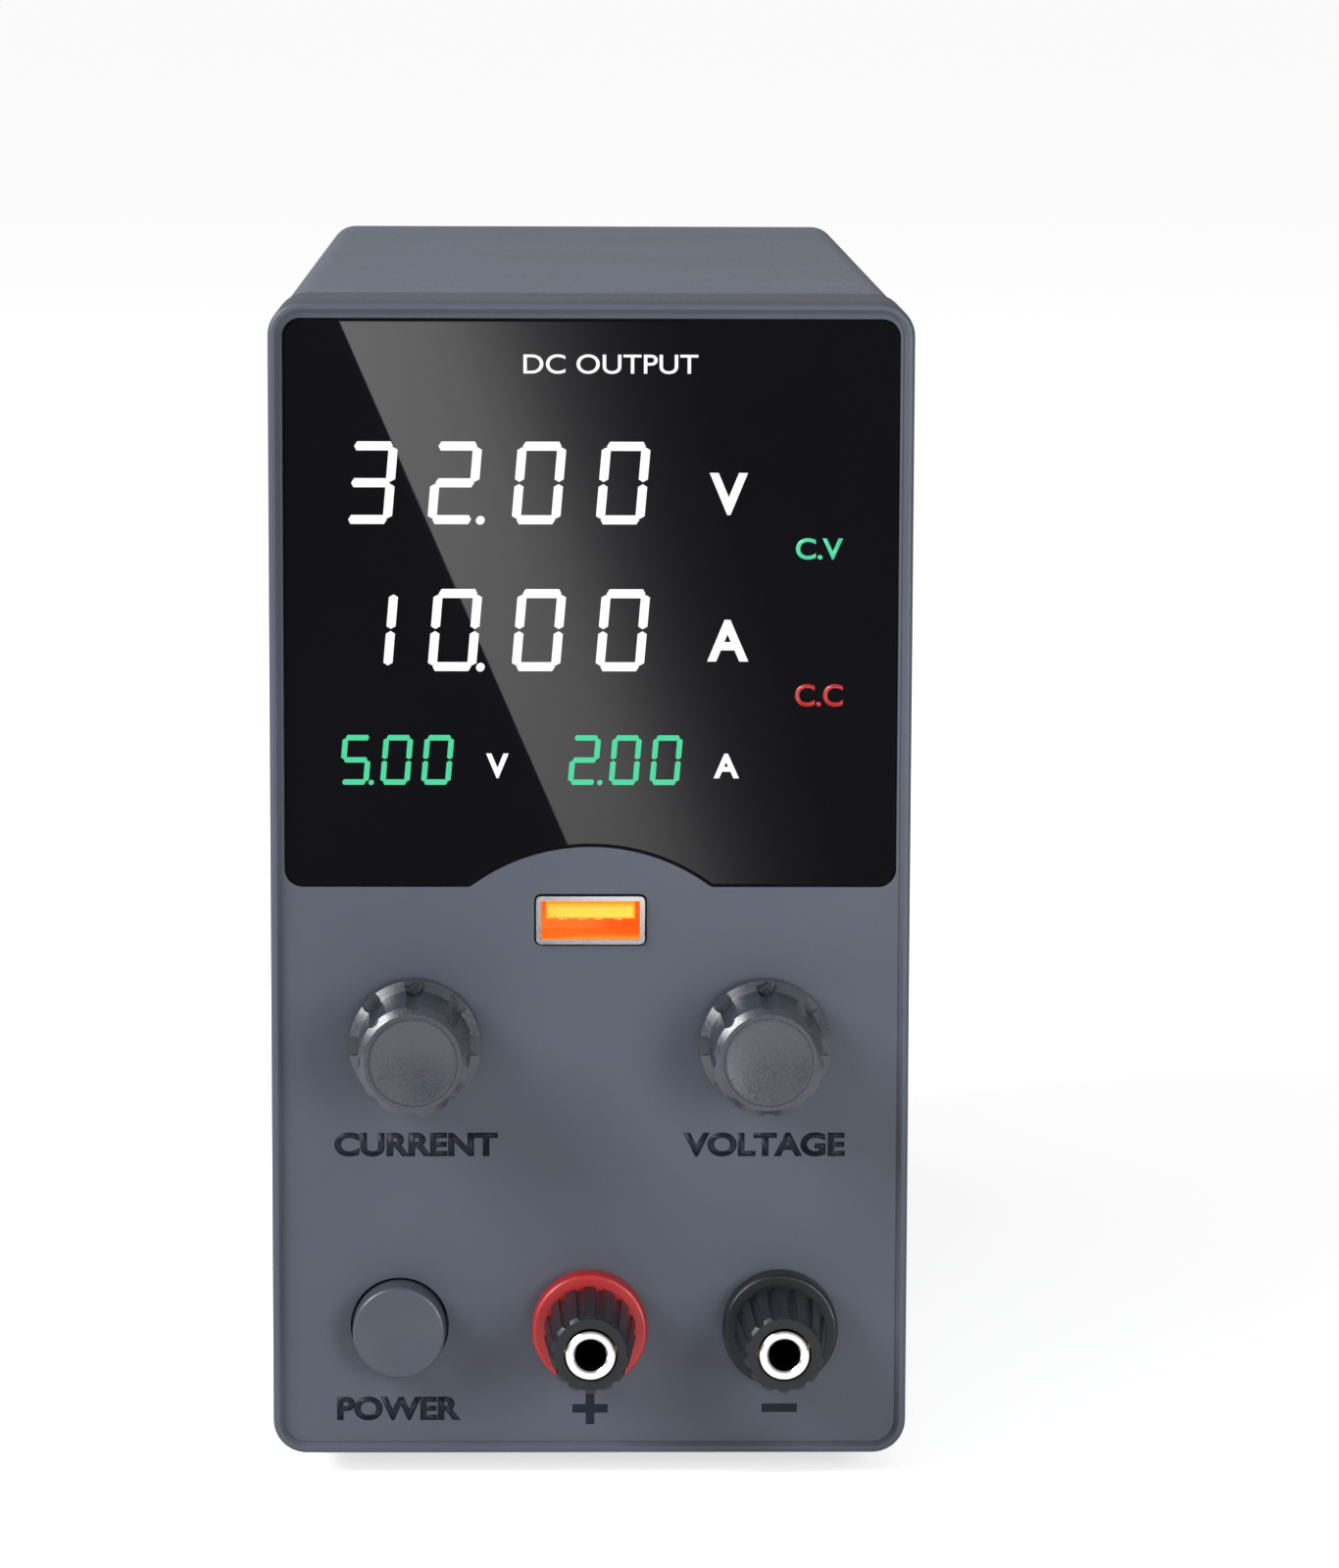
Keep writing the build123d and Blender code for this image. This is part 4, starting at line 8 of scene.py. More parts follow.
# %% Load the frame and measure it
import json
from math import cos, pi, radians, sin

import bmesh
import bpy
from mathutils import Matrix, Vector


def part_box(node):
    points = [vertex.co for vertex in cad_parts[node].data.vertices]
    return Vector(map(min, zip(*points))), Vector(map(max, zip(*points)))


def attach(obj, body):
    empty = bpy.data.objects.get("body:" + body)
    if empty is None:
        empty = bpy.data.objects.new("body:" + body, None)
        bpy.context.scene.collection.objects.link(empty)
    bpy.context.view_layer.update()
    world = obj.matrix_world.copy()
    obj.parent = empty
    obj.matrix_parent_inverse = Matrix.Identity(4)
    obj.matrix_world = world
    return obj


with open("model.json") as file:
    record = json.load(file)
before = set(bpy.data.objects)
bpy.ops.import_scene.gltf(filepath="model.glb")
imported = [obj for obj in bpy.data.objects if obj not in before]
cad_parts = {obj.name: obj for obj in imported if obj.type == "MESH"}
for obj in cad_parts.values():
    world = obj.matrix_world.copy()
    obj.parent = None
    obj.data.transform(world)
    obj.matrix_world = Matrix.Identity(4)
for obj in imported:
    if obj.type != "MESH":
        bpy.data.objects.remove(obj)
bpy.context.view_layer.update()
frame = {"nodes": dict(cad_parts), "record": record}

# %% [markdown]
# Every piece is placed the way a drawing of the front would be dimensioned:
# millimetres to the right of the middle, back from the front rim, and up from
# the lower edge of the front panel. Small helpers turn that into the frame's
# metres and back, and one makes a finished object out of a bmesh.

# %% Helpers for places and pieces
MM = 0.001
panel_low, panel_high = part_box("front_panel")
scene = bpy.context.scene


def place(x, depth, height):
    return Vector((x * MM, panel_low.y + depth * MM, panel_low.z + height * MM))


def depth_of(y):
    return (y - panel_low.y) / MM


def height_of(z):
    return (z - panel_low.z) / MM


def middle_of(node_name):
    low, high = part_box(node_name)
    return (low + high) / 2


def new_object(name, bm, *materials):
    mesh = bpy.data.meshes.new(name)
    bm.to_mesh(mesh)
    bm.free()
    for material in materials:
        mesh.materials.append(material)
    piece = bpy.data.objects.new(name, mesh)
    scene.collection.objects.link(piece)
    return piece


print("front rim at", round(panel_low.y, 4), "lower edge at", round(panel_low.z, 4))

# %% [markdown]
# The photograph was taken from a little above and almost straight on, with a
# long lens: the top face shows its depth but the sides don't. The angles, the
# distance and the lens come from fitting a camera to the corners of the front
# and of the top face. The camera axes are built from those angles, because
# three angles read more plainly than a matrix.

# %% Camera at the photograph's viewing angle
CAMERA_X, CAMERA_DEPTH, CAMERA_HEIGHT = -4.73, -735.91, 189.3
CAMERA_PITCH = radians(8.016)
CAMERA_YAW = radians(1.132)
CAMERA_ROLL = radians(-0.215)
CAMERA_LENS = 136.81
SENSOR_WIDTH = 36.0


def camera_matrix(position, pitch, yaw, roll):
    forward = Vector((sin(yaw) * cos(pitch), cos(yaw) * cos(pitch), -sin(pitch)))
    level_right = Vector((cos(yaw), -sin(yaw), 0.0))
    level_up = level_right.cross(forward)
    right = level_right * cos(roll) - level_up * sin(roll)
    up = level_right * sin(roll) + level_up * cos(roll)
    turn = Matrix((right, up, -forward)).transposed()
    return Matrix.Translation(position) @ turn.to_4x4()


camera_data = bpy.data.cameras.new("camera")
camera_data.lens = CAMERA_LENS
camera_data.sensor_width = SENSOR_WIDTH
camera_data.clip_start = 0.01
camera = bpy.data.objects.new("camera", camera_data)
scene.collection.objects.link(camera)
eye = place(CAMERA_X, CAMERA_DEPTH, CAMERA_HEIGHT)
camera.matrix_world = camera_matrix(eye, CAMERA_PITCH, CAMERA_YAW, CAMERA_ROLL)
scene.camera = camera
scene.view_settings.view_transform = "Standard"
print("camera at", [round(value, 3) for value in camera.location])

# %% [markdown]
# A finish is one Principled shader fed by noise. Real mouldings and coatings
# differ from a flat colour in three ways: a grain that breaks up the gloss, a
# faint unevenness of the colour over some centimetres, and tiny bumps. The
# helper gives each of them a size in millimetres, so the grain of a powder
# coat and that of rubber differ by numbers only.

# %% Helpers for shader nodes
PATCH_SIZE = 30.0
GRAIN_SIZE = 0.4
DETAIL = 3.0
EVEN = (1.0, 1.0, 1.0)


def add_node(tree, kind, **settings):
    node = tree.nodes.new("ShaderNode" + kind)
    for key, value in settings.items():
        setattr(node, key, value)
    return node


def noise(tree, size_mm, stretch=EVEN):
    # Noise on Object coordinates whose blotches are about size_mm wide.
    where = add_node(tree, "TexCoord")
    mapping = add_node(tree, "Mapping")
    mapping.inputs["Scale"].default_value = stretch
    tree.links.new(where.outputs["Object"], mapping.inputs["Vector"])
    texture = add_node(tree, "TexNoise")
    texture.inputs["Scale"].default_value = 1.0 / (size_mm * MM)
    texture.inputs["Detail"].default_value = DETAIL
    tree.links.new(mapping.outputs["Vector"], texture.inputs["Vector"])
    return texture.outputs["Fac"]


def spread(tree, source, low, high, source_low=0.3, source_high=0.7):
    # Spreads a noise over a range of values.
    node = add_node(tree, "MapRange")
    node.inputs["From Min"].default_value = source_low
    node.inputs["From Max"].default_value = source_high
    node.inputs["To Min"].default_value = low
    node.inputs["To Max"].default_value = high
    tree.links.new(source, node.inputs["Value"])
    return node.outputs["Result"]


def blend_colours(tree, factor, first, second):
    # A Mix node has sockets for numbers first: its colours are 6 and 7, out 2.
    node = add_node(tree, "Mix", data_type="RGBA")
    tree.links.new(factor, node.inputs["Factor"])
    node.inputs[6].default_value = (*first, 1.0)
    node.inputs[7].default_value = (*second, 1.0)
    return node.outputs[2]


def shaded(colour, amount):
    return tuple(min(1.0, part * amount) for part in colour)


print("patches are", round(PATCH_SIZE / GRAIN_SIZE), "times as wide as the usual grain")

# %% [markdown]
# The finish itself takes its colour from the broad noise, and its gloss and its bumps from the
# fine one. Colour, roughness and bump distance are the three values that tell one material from
# another, so they come first. Parts that shine with their own light have an emission on top of
# the same shader, and so have the orange parts of the outlet, whose glow is painted light.

# %% Helper for a finish
def finish(name, colour, rough, grain=GRAIN_SIZE, bumps=0.01, metal=0.0, vary=0.07,
           rough_spread=0.08, stretch=EVEN, specular=0.5):
    material = bpy.data.materials.new(name)
    material.use_nodes = True
    tree = material.node_tree
    shader = tree.nodes["Principled BSDF"]
    fine = noise(tree, grain, stretch=stretch)
    broad = noise(tree, PATCH_SIZE)
    tint = blend_colours(
        tree, spread(tree, broad, 0.0, 1.0), shaded(colour, 1 - vary), shaded(colour, 1 + vary)
    )
    tree.links.new(tint, shader.inputs["Base Color"])
    gloss = spread(tree, fine, rough - rough_spread, rough + rough_spread)
    tree.links.new(gloss, shader.inputs["Roughness"])
    bump = add_node(tree, "Bump")
    bump.inputs["Distance"].default_value = bumps * MM
    tree.links.new(fine, bump.inputs["Height"])
    tree.links.new(bump.outputs["Normal"], shader.inputs["Normal"])
    shader.inputs["Metallic"].default_value = metal
    shader.inputs["Specular IOR Level"].default_value = specular
    return material


def glow(material, colour, strength):
    shader = material.node_tree.nodes["Principled BSDF"]
    shader.inputs["Emission Color"].default_value = (*colour, 1.0)
    shader.inputs["Emission Strength"].default_value = strength
    print(material.name, "glows at", strength)
    return material


# %% [markdown]
# The case and the front share one dark blue-grey. The front is a moulded
# plastic with a very fine matt texture, the case is powder-coated steel with a
# slightly coarser one. The small parts have finishes of their own: satin black
# for the knobs, nickel and brass for the contacts, and for the inside what the
# parts of such a supply are made of.

# %% Finishes for the record's material slots
FINISHES = {
    "panel_grey": dict(colour=(0.05, 0.057, 0.077), rough=0.46, grain=0.35, bumps=0.02,
                       specular=0.35),
    "cover_paint": dict(colour=(0.09, 0.104, 0.14), rough=0.5, grain=0.6, bumps=0.03),
    "window_black": dict(colour=(0.004, 0.004, 0.005), rough=0.012, grain=8.0, bumps=0.0,
                         rough_spread=0.004, specular=0.33),
    "knob_black": dict(colour=(0.02, 0.024, 0.035), rough=0.3, grain=0.3, bumps=0.006,
                       specular=0.9),
    "red_plastic": dict(colour=(0.29, 0.009, 0.011), rough=0.38, grain=0.5, bumps=0.006),
    "black_plastic": dict(colour=(0.008, 0.009, 0.012), rough=0.36, grain=0.3, bumps=0.008,
                          specular=0.3),
    "bright_metal": dict(colour=(0.92, 0.92, 0.91), rough=0.16, grain=0.3, bumps=0.0005,
                         metal=1.0, rough_spread=0.03, vary=0.02),
    "steel": dict(colour=(0.56, 0.57, 0.58), rough=0.34, grain=0.2, bumps=0.004, metal=1.0),
    "brass": dict(colour=(0.72, 0.52, 0.22), rough=0.28, grain=0.3, bumps=0.004, metal=1.0),
    "gold": dict(colour=(0.9, 0.62, 0.2), rough=0.2, grain=0.3, bumps=0.002, metal=1.0),
    "board_green": dict(colour=(0.015, 0.13, 0.05), rough=0.32, grain=1.2, bumps=0.01,
                        vary=0.2),
    "module_white": dict(colour=(0.72, 0.72, 0.7), rough=0.45, grain=0.4, bumps=0.006),
    "usb_orange": dict(colour=(0.87, 0.21, 0.025), rough=0.35, grain=0.5, bumps=0.01),
    "aluminium": dict(colour=(0.78, 0.79, 0.8), rough=0.36, grain=0.3, bumps=0.006, metal=1.0,
                      stretch=(1.0, 1.0, 0.03)),
    "ferrite": dict(colour=(0.035, 0.034, 0.034), rough=0.62, grain=0.5, bumps=0.03),
    "winding_tape": dict(colour=(0.78, 0.52, 0.06), rough=0.3, grain=1.0, bumps=0.02,
                         stretch=(0.2, 0.2, 1.0)),
    "can_sleeve": dict(colour=(0.02, 0.03, 0.07), rough=0.24, grain=1.5, bumps=0.01),
    "copper": dict(colour=(0.7, 0.27, 0.11), rough=0.3, grain=0.4, bumps=0.01, metal=1.0),
    "wire_red": dict(colour=(0.46, 0.02, 0.018), rough=0.42, grain=0.8, bumps=0.01),
    "wire_brown": dict(colour=(0.12, 0.05, 0.025), rough=0.42, grain=0.8, bumps=0.01),
    "ribbon_grey": dict(colour=(0.36, 0.36, 0.37), rough=0.5, grain=0.6, bumps=0.02),
    "rubber": dict(colour=(0.016, 0.016, 0.017), rough=0.75, grain=0.6, bumps=0.03),
    "fuse_glass": dict(colour=(0.72, 0.78, 0.78), rough=0.08, grain=2.0, bumps=0.0),
    "selector_red": dict(colour=(0.55, 0.02, 0.016), rough=0.36, grain=0.4, bumps=0.008),
}
materials = {name: finish(name, **values) for name, values in FINISHES.items()}
print("finishes made:", len(materials))

# %% [markdown]
# Each CAD node already names its slot in the record, so the finishes are handed
# out by that list. The node's mesh stays as it is and only the material in its
# slot changes.

# %% Hand the finishes to the CAD nodes
slot_of = {part["node"]: part["material_slot"] for part in frame["record"]["subparts"]}
for node_name, node in frame["nodes"].items():
    for slot in node.material_slots:
        slot.material = materials[slot_of[node_name]]
print("nodes finished:", len(slot_of))

# %% [markdown]
# Two nodes look different from the others in their slot. The power button is a smoother plastic
# than the moulding round it, and the tongue in the charging outlet is a clear orange, given a
# painted glow so that it reads brighter.

# %% The button and the tongue of the outlet
# The tongue's glow is painted light: the orange plastic is no lamp.
TONGUE_GLOW = 0.45
button_grey = finish("button_grey", (0.04, 0.046, 0.062), rough=0.36, grain=0.3, bumps=0.012)
tongue_orange_glow = finish("tongue_orange_glow", (0.95, 0.34, 0.03), rough=0.3, grain=0.6, bumps=0.01)
glow(tongue_orange_glow, (1.0, 0.5, 0.04), TONGUE_GLOW)
for node_name, material in (("power_button", button_grey), ("usb_tongue", tongue_orange_glow)):
    frame["nodes"][node_name].material_slots[0].material = material
    print(node_name, "wears", material.name)

# %% [markdown]
# The digits behind a dark window are lit bars, up to seven to a digit. A bar is
# a hexagon pulled out to its length: a six-sided circle whose two halves are
# moved apart. A font would give round digits, and these are made of bars, so
# each digit is a list of the bars that are lit in it. The readings sit on the
# window's front, thinner than a sheet of paper, so they show from every side.

# %% Lit bars
PRINT_THICKNESS = 0.03
DIGIT_SLANT = 0.085
DIGIT_TALL = 10.4
BAR_THICK = 1.3
BAR_LONG = 4.8
BAR_TALL = 4.3
BAR_SIDE = 2.45
BAR_INSET = 0.63
MIDDLE_SHARE = 0.125
DOT_RADIUS = 0.55
DOT_SIDE = 3.55
DOT_SEGMENTS = 16
LIT_BARS = {"0": "abcdef", "1": "bc", "2": "abged", "3": "abgcd", "5": "afgcd"}


def lay_bar(bm, x, height, length, thick, upright):
    made = bmesh.ops.create_circle(bm, cap_ends=True, segments=6, radius=thick / 2)
    verts = made["verts"]
    for side in (-1, 1):
        half = [vert for vert in verts if vert.co.y * side > thick * MIDDLE_SHARE]
        bmesh.ops.translate(bm, verts=half, vec=(0, side * (length - thick) / 2, 0))
    if not upright:
        bmesh.ops.rotate(bm, verts=verts, matrix=Matrix.Rotation(pi / 2, 3, "Z"))
    bmesh.ops.translate(bm, verts=verts, vec=(x, height, 0))


def lay_digit(bm, digit, x, size):
    top = (DIGIT_TALL / 2 - BAR_INSET) * size
    side = BAR_SIDE * size
    places = {
        "a": (0, top, False), "g": (0, 0, False), "d": (0, -top, False),
        "b": (side, top / 2, True), "c": (side, -top / 2, True),
        "f": (-side, top / 2, True), "e": (-side, -top / 2, True),
    }
    for bar in LIT_BARS[digit]:
        bar_x, height, upright = places[bar]
        length = (BAR_TALL if upright else BAR_LONG) * size
        lay_bar(bm, x + bar_x, height, length, BAR_THICK * size, upright)


def lay_dot(bm, x, size):
    height = -(DIGIT_TALL / 2 - DOT_RADIUS) * size
    made = bmesh.ops.create_circle(bm, cap_ends=True, segments=DOT_SEGMENTS,
                                   radius=DOT_RADIUS * size)
    bmesh.ops.translate(bm, verts=made["verts"], vec=(x, height, 0))


print("digits known:", "".join(LIT_BARS))

# %% [markdown]
# Digits, words and signs are all drawn flat first, in millimetres. One helper
# then thickens the flat work, turns it upright and puts it on the front, so
# each drawing can stay as simple as a drawing on paper.

# %% From flat work to a piece on the front
STAND_UP = Matrix.Rotation(pi / 2, 4, "X") @ Matrix.Scale(MM, 4)


def thicken(bm, amount):
    # Pulls every face along Z, with walls between the old and the new place.
    made = bmesh.ops.extrude_face_region(bm, geom=list(bm.faces))
    moved = [item for item in made["geom"] if isinstance(item, bmesh.types.BMVert)]
    bmesh.ops.translate(bm, verts=moved, vec=(0, 0, amount))


def stand_up(bm, x, height, depth):
    # Stands flat work on the front, its face towards -Y.
    thicken(bm, PRINT_THICKNESS)
    bmesh.ops.transform(bm, matrix=STAND_UP, verts=bm.verts)
    bmesh.ops.translate(bm, verts=bm.verts, vec=place(x, depth, height))
    bmesh.ops.recalc_face_normals(bm, faces=bm.faces)


def ride_case(piece):
    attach(piece, "case")


window_low, window_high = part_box("display_window")
window_front = depth_of(window_low.y)
print("window front lies", round(window_front, 3), "mm behind the rim")

# %% [markdown]
# A reading is a row of digits at an even pitch, with a dot after one of them.
# Digits and dot go into one bmesh, and one shear leans them all.

# %% Helper for a reading
def reading(name, digits, dot_after, x, height, pitch, size, material):
    bm = bmesh.new()
    for index, digit in enumerate(digits):
        offset = (index - (len(digits) - 1) / 2) * pitch
        lay_digit(bm, digit, offset, size)
        if index == dot_after:
            lay_dot(bm, offset + DOT_SIDE * size, size)
    lean = Matrix.Identity(4)
    lean[0][1] = DIGIT_SLANT
    bmesh.ops.transform(bm, matrix=lean, verts=bm.verts)
    stand_up(bm, x, height, window_front)
    ride_case(new_object(name, bm, material))
    print(name, "bars:", sum(len(LIT_BARS[digit]) for digit in digits))

# %% [markdown]
# Light that comes through a diffuser isn't quite even, so the lit finishes keep
# a fine noise in their gloss. Their colour is set straight on the shader's
# emission, which is what the eye sees of them.

# %% Finishes for lit marks
UNLIT_SHARE = 0.06


def lit_finish(name, colour, strength):
    unlit = shaded(colour, UNLIT_SHARE)
    return glow(finish(name, unlit, rough=0.4, grain=0.5, bumps=0.002), colour, strength)


lit_white = lit_finish("lit_white", (1.0, 1.0, 1.0), 0.95)
lit_green = lit_finish("lit_green", (0.045, 0.62, 0.3), 0.95)
lit_red = lit_finish("lit_red", (0.52, 0.01, 0.01), 0.85)
print("lit finishes:", lit_white.name, lit_green.name, lit_red.name)

# %% [markdown]
# The two large readings stand in front of their modules, and the two small
# green ones in front of the charging modules, so their places come from the
# CAD boxes of those nodes.

# %% The four readings
BIG_PITCH = 10.43
BIG_SHIFT = -0.5
SMALL_PITCH = 5.1
SMALL_SIZE = 0.61
SMALL_MODULE_HALF = 8.8


for name, digits, node_name in (
    ("voltage_reading", "3200", "voltage_digits"), ("current_reading", "1000", "current_digits")
):
    centre = middle_of(node_name)
    reading(name, digits, 1, centre.x / MM + BIG_SHIFT, height_of(centre.z), BIG_PITCH, 1.0,
            lit_white)

charging_low, charging_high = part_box("charging_digits")
charging_height = height_of(middle_of("charging_digits").z)
left_module = charging_low.x / MM + SMALL_MODULE_HALF
right_module = charging_high.x / MM - SMALL_MODULE_HALF
reading("charging_volts", "500", 0, left_module, charging_height, SMALL_PITCH, SMALL_SIZE,
        lit_green)
reading("charging_amps", "200", 0, right_module, charging_height, SMALL_PITCH, SMALL_SIZE,
        lit_green)

# %% [markdown]
# Words are Blender text turned into a mesh, because a mesh can be fitted to the
# space that the printed word takes: its bounds are scaled to the left, right,
# lower and upper limits measured on the front. A bold print is the same font
# with its outline pushed out.

# %% Helper for printed and lit words
WELD = 0.0001


def word(name, text, left, right, low, high, depth, material, bold=0.0):
    curve = bpy.data.curves.new(name, "FONT")
    curve.body = text
    curve.offset = bold
    curve.fill_mode = "FRONT"
    carrier = bpy.data.objects.new(name, curve)
    scene.collection.objects.link(carrier)
    bpy.context.view_layer.update()
    flat = bpy.data.meshes.new_from_object(carrier)
    bpy.data.objects.remove(carrier)
    bm = bmesh.new()
    bm.from_mesh(flat)
    bmesh.ops.remove_doubles(bm, verts=bm.verts, dist=WELD)
    xs = [vert.co.x for vert in bm.verts]
    ys = [vert.co.y for vert in bm.verts]
    centre = Vector(((min(xs) + max(xs)) / 2, (min(ys) + max(ys)) / 2, 0))
    bmesh.ops.translate(bm, verts=bm.verts, vec=-centre)
    size = ((right - left) / (max(xs) - min(xs)), (high - low) / (max(ys) - min(ys)), 1)
    bmesh.ops.scale(bm, verts=bm.verts, vec=size)
    stand_up(bm, (left + right) / 2, (low + high) / 2, depth)
    ride_case(new_object(name, bm, material))


print("print is", PRINT_THICKNESS, "mm thick")

# %% [markdown]
# On the window, white letters name the units and small green and red letters
# tell whether the supply holds its voltage or its current. On the moulding, the
# names of the controls are printed in a dark ink. The face of the moulding lies
# a little behind its rim, and the print lies on that face.

# %% Words on the window and on the moulding
print_ink = finish("print_ink", (0.006, 0.008, 0.016), rough=0.45, grain=0.3, bumps=0.004,
                   specular=0.15)
FACE_DEPTH = 0.7
# Name, text, left, right, lower and upper edge in mm, finish, boldness.
WINDOW_WORDS = [
    ("heading", "DC OUTPUT", -8.42, 13.2, 136.75, 139.15, lit_white, 0.005),
    ("unit_volt", "V", 14.67, 19.42, 119.26, 124.5, lit_white, 0.03),
    ("unit_ampere", "A", 14.45, 19.58, 100.95, 106.17, lit_white, 0.03),
    ("lamp_voltage", "C.V", 25.42, 31.27, 113.72, 116.41, lit_green, 0.02),
    ("lamp_current", "C.C", 25.42, 31.41, 95.31, 98.14, lit_red, 0.02),
    ("small_volt", "V", -13.05, -10.24, 86.27, 89.37, lit_white, 0.03),
    ("small_ampere", "A", 15.32, 18.5, 86.27, 89.37, lit_white, 0.03),
]
PANEL_WORDS = [
    ("name_current", "CURRENT", -32.18, -11.6, 38.17, 41.25, print_ink, 0.042),
    ("name_voltage", "VOLTAGE", 11.72, 32.1, 38.17, 41.25, print_ink, 0.042),
    ("name_power", "POWER", -31.95, -16.32, 4.15, 7.21, print_ink, 0.042),
]
for name, text, left, right, low, high, material, bold in WINDOW_WORDS:
    word(name, text, left, right, low, high, window_front, material, bold)
for name, text, left, right, low, high, material, bold in PANEL_WORDS:
    word(name, text, left, right, low, high, FACE_DEPTH, material, bold)
print("words:", len(WINDOW_WORDS) + len(PANEL_WORDS))

# %% [markdown]
# The plus and the minus are plain bars, so they need no font. Each bar is a
# grid of one face. The upright of the plus is two halves, above and below the
# level bar, so that no two faces lie on each other.

# %% Plus and minus signs
SIGN_LENGTH = 4.47
PLUS_TALL = 4.07
SIGN_THICK = 1.09


def lay_rectangle(bm, x, height, width, tall):
    made = bmesh.ops.create_grid(bm, x_segments=1, y_segments=1, size=0.5)
    bmesh.ops.scale(bm, verts=made["verts"], vec=(width, tall, 1))
    bmesh.ops.translate(bm, verts=made["verts"], vec=(x, height, 0))


def sign(name, x, height, upright_length):
    bm = bmesh.new()
    lay_rectangle(bm, 0, 0, SIGN_LENGTH, SIGN_THICK)
    arm = (upright_length - SIGN_THICK) / 2
    if arm > 0:
        for side in (-1, 1):
            lay_rectangle(bm, 0, side * (SIGN_THICK + arm) / 2, SIGN_THICK, arm)
    stand_up(bm, x, height, FACE_DEPTH)
    ride_case(new_object(name, bm, print_ink))
    print(name, "at", (x, height))


sign("plus_sign", 0.05, 5.65, PLUS_TALL)
sign("minus_sign", 24.03, 5.72, 0)

# %% [markdown]
# Each knob gets a small dark arrow head on the slope of its skirt, pointing outwards from the
# top groove: painted shade where that groove lies dark. It rides on the knob, so it turns with
# it. It is a three-sided circle, thickened and bevelled.

# %% Painted groove shade on the knobs
SHADE_MARK_RADIUS = 1.25
SHADE_MARK_RISE = 0.3
SHADE_MARK_OUT = 7.2
SHADE_MARK_EDGE = 0.08
SKIRT_THICKNESS = 1.8
SKIRT_SLOPE = 0.7
# The dark ink of the arrow head is painted shade of the top groove.
groove_shade_ink = finish("groove_shade_ink", (0.008, 0.01, 0.015), rough=0.4, grain=0.3, bumps=0.005)


def lay_groove_shade(name, knob, body):
    low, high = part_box(knob)
    bm = bmesh.new()
    made = bmesh.ops.create_circle(bm, cap_ends=True, segments=3, radius=SHADE_MARK_RADIUS * MM)
    bmesh.ops.rotate(bm, verts=made["verts"], matrix=Matrix.Rotation(pi / 2, 3, "Z"))
    thicken(bm, SHADE_MARK_RISE * MM)
    bmesh.ops.recalc_face_normals(bm, faces=bm.faces)
    bmesh.ops.bevel(bm, geom=list(bm.edges), offset=SHADE_MARK_EDGE * MM, offset_type="OFFSET",
                    affect="EDGES", segments=2, profile=0.5, material=-1)
    bmesh.ops.rotate(bm, verts=bm.verts, matrix=Matrix.Rotation(pi / 2, 3, "X"))
    knob_middle = middle_of(knob)
    skirt_front = high.y - (SKIRT_THICKNESS + SKIRT_SLOPE) * MM
    spot = Vector((knob_middle.x, skirt_front, knob_middle.z + SHADE_MARK_OUT * MM))
    bmesh.ops.translate(bm, verts=bm.verts, vec=spot)
    piece = new_object(name, bm, groove_shade_ink)
    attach(piece, body)
    print(name, "at", [round(value, 4) for value in spot])


lay_groove_shade("current_groove_shade", "current_knob", "current_knob_unit")
lay_groove_shade("voltage_groove_shade", "voltage_knob", "voltage_knob_unit")

# %% [markdown]
# The sockets of the posts look black from outside, because no light gets deep into them, where
# the spring contact sits. A thin near-black cup inside each bore paints that shade: a ring of
# walls and a floor, made from one circle and open to the front. Its faces are turned round,
# because they are seen from inside.

# %% Cups of painted shade in the sockets
BORE_RADIUS = 2.0
CUP_FIT = 0.02
CUP_START = 0.6
CUP_DEEP = 14.5
CUP_SEGMENTS = 32
FLAT = 0.001
# The near-black finish of the cups is painted shade of the bore.
bore_painted_shade = finish("bore_painted_shade", (0.002, 0.002, 0.002), rough=0.7, grain=0.5, bumps=0.01,
                   specular=0.05)


def sleeve(name, bm, x, height, start, length, material):
    # Pulls a flat outline into a cup and opens its mouth, which faces -Y.
    thicken(bm, -length)
    mouth = [face for face in bm.faces if all(abs(vert.co.z) < FLAT for vert in face.verts)]
    bmesh.ops.delete(bm, geom=mouth, context="FACES_ONLY")
    bmesh.ops.transform(bm, matrix=STAND_UP, verts=bm.verts)
    bmesh.ops.translate(bm, verts=bm.verts, vec=place(x, start, height))
    bmesh.ops.recalc_face_normals(bm, faces=bm.faces)
    bmesh.ops.reverse_faces(bm, faces=bm.faces)
    piece = new_object(name, bm, material)
    ride_case(piece)
    print(name, "faces:", len(piece.data.polygons))


for name, stud in (("plus_shade_cup", "plus_stud"), ("minus_shade_cup", "minus_stud")):
    stud_low, stud_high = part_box(stud)
    centre = middle_of(stud)
    bm = bmesh.new()
    bmesh.ops.create_circle(bm, cap_ends=True, segments=CUP_SEGMENTS,
                            radius=BORE_RADIUS - CUP_FIT)
    sleeve(name, bm, centre.x / MM, height_of(centre.z), depth_of(stud_low.y) + CUP_START,
           CUP_DEEP, bore_painted_shade)

# %% [markdown]
# The charging outlet has an orange lining of the same kind: a plastic film that keeps a plug
# from scraping on the shell. It is a rectangle pulled back, and its glow is painted light, as
# if the tongue lit it.

# %% The lining of the outlet
SHELL_WALL = 0.6
LINING_START = 0.4
LINING_DEEP = 8.3
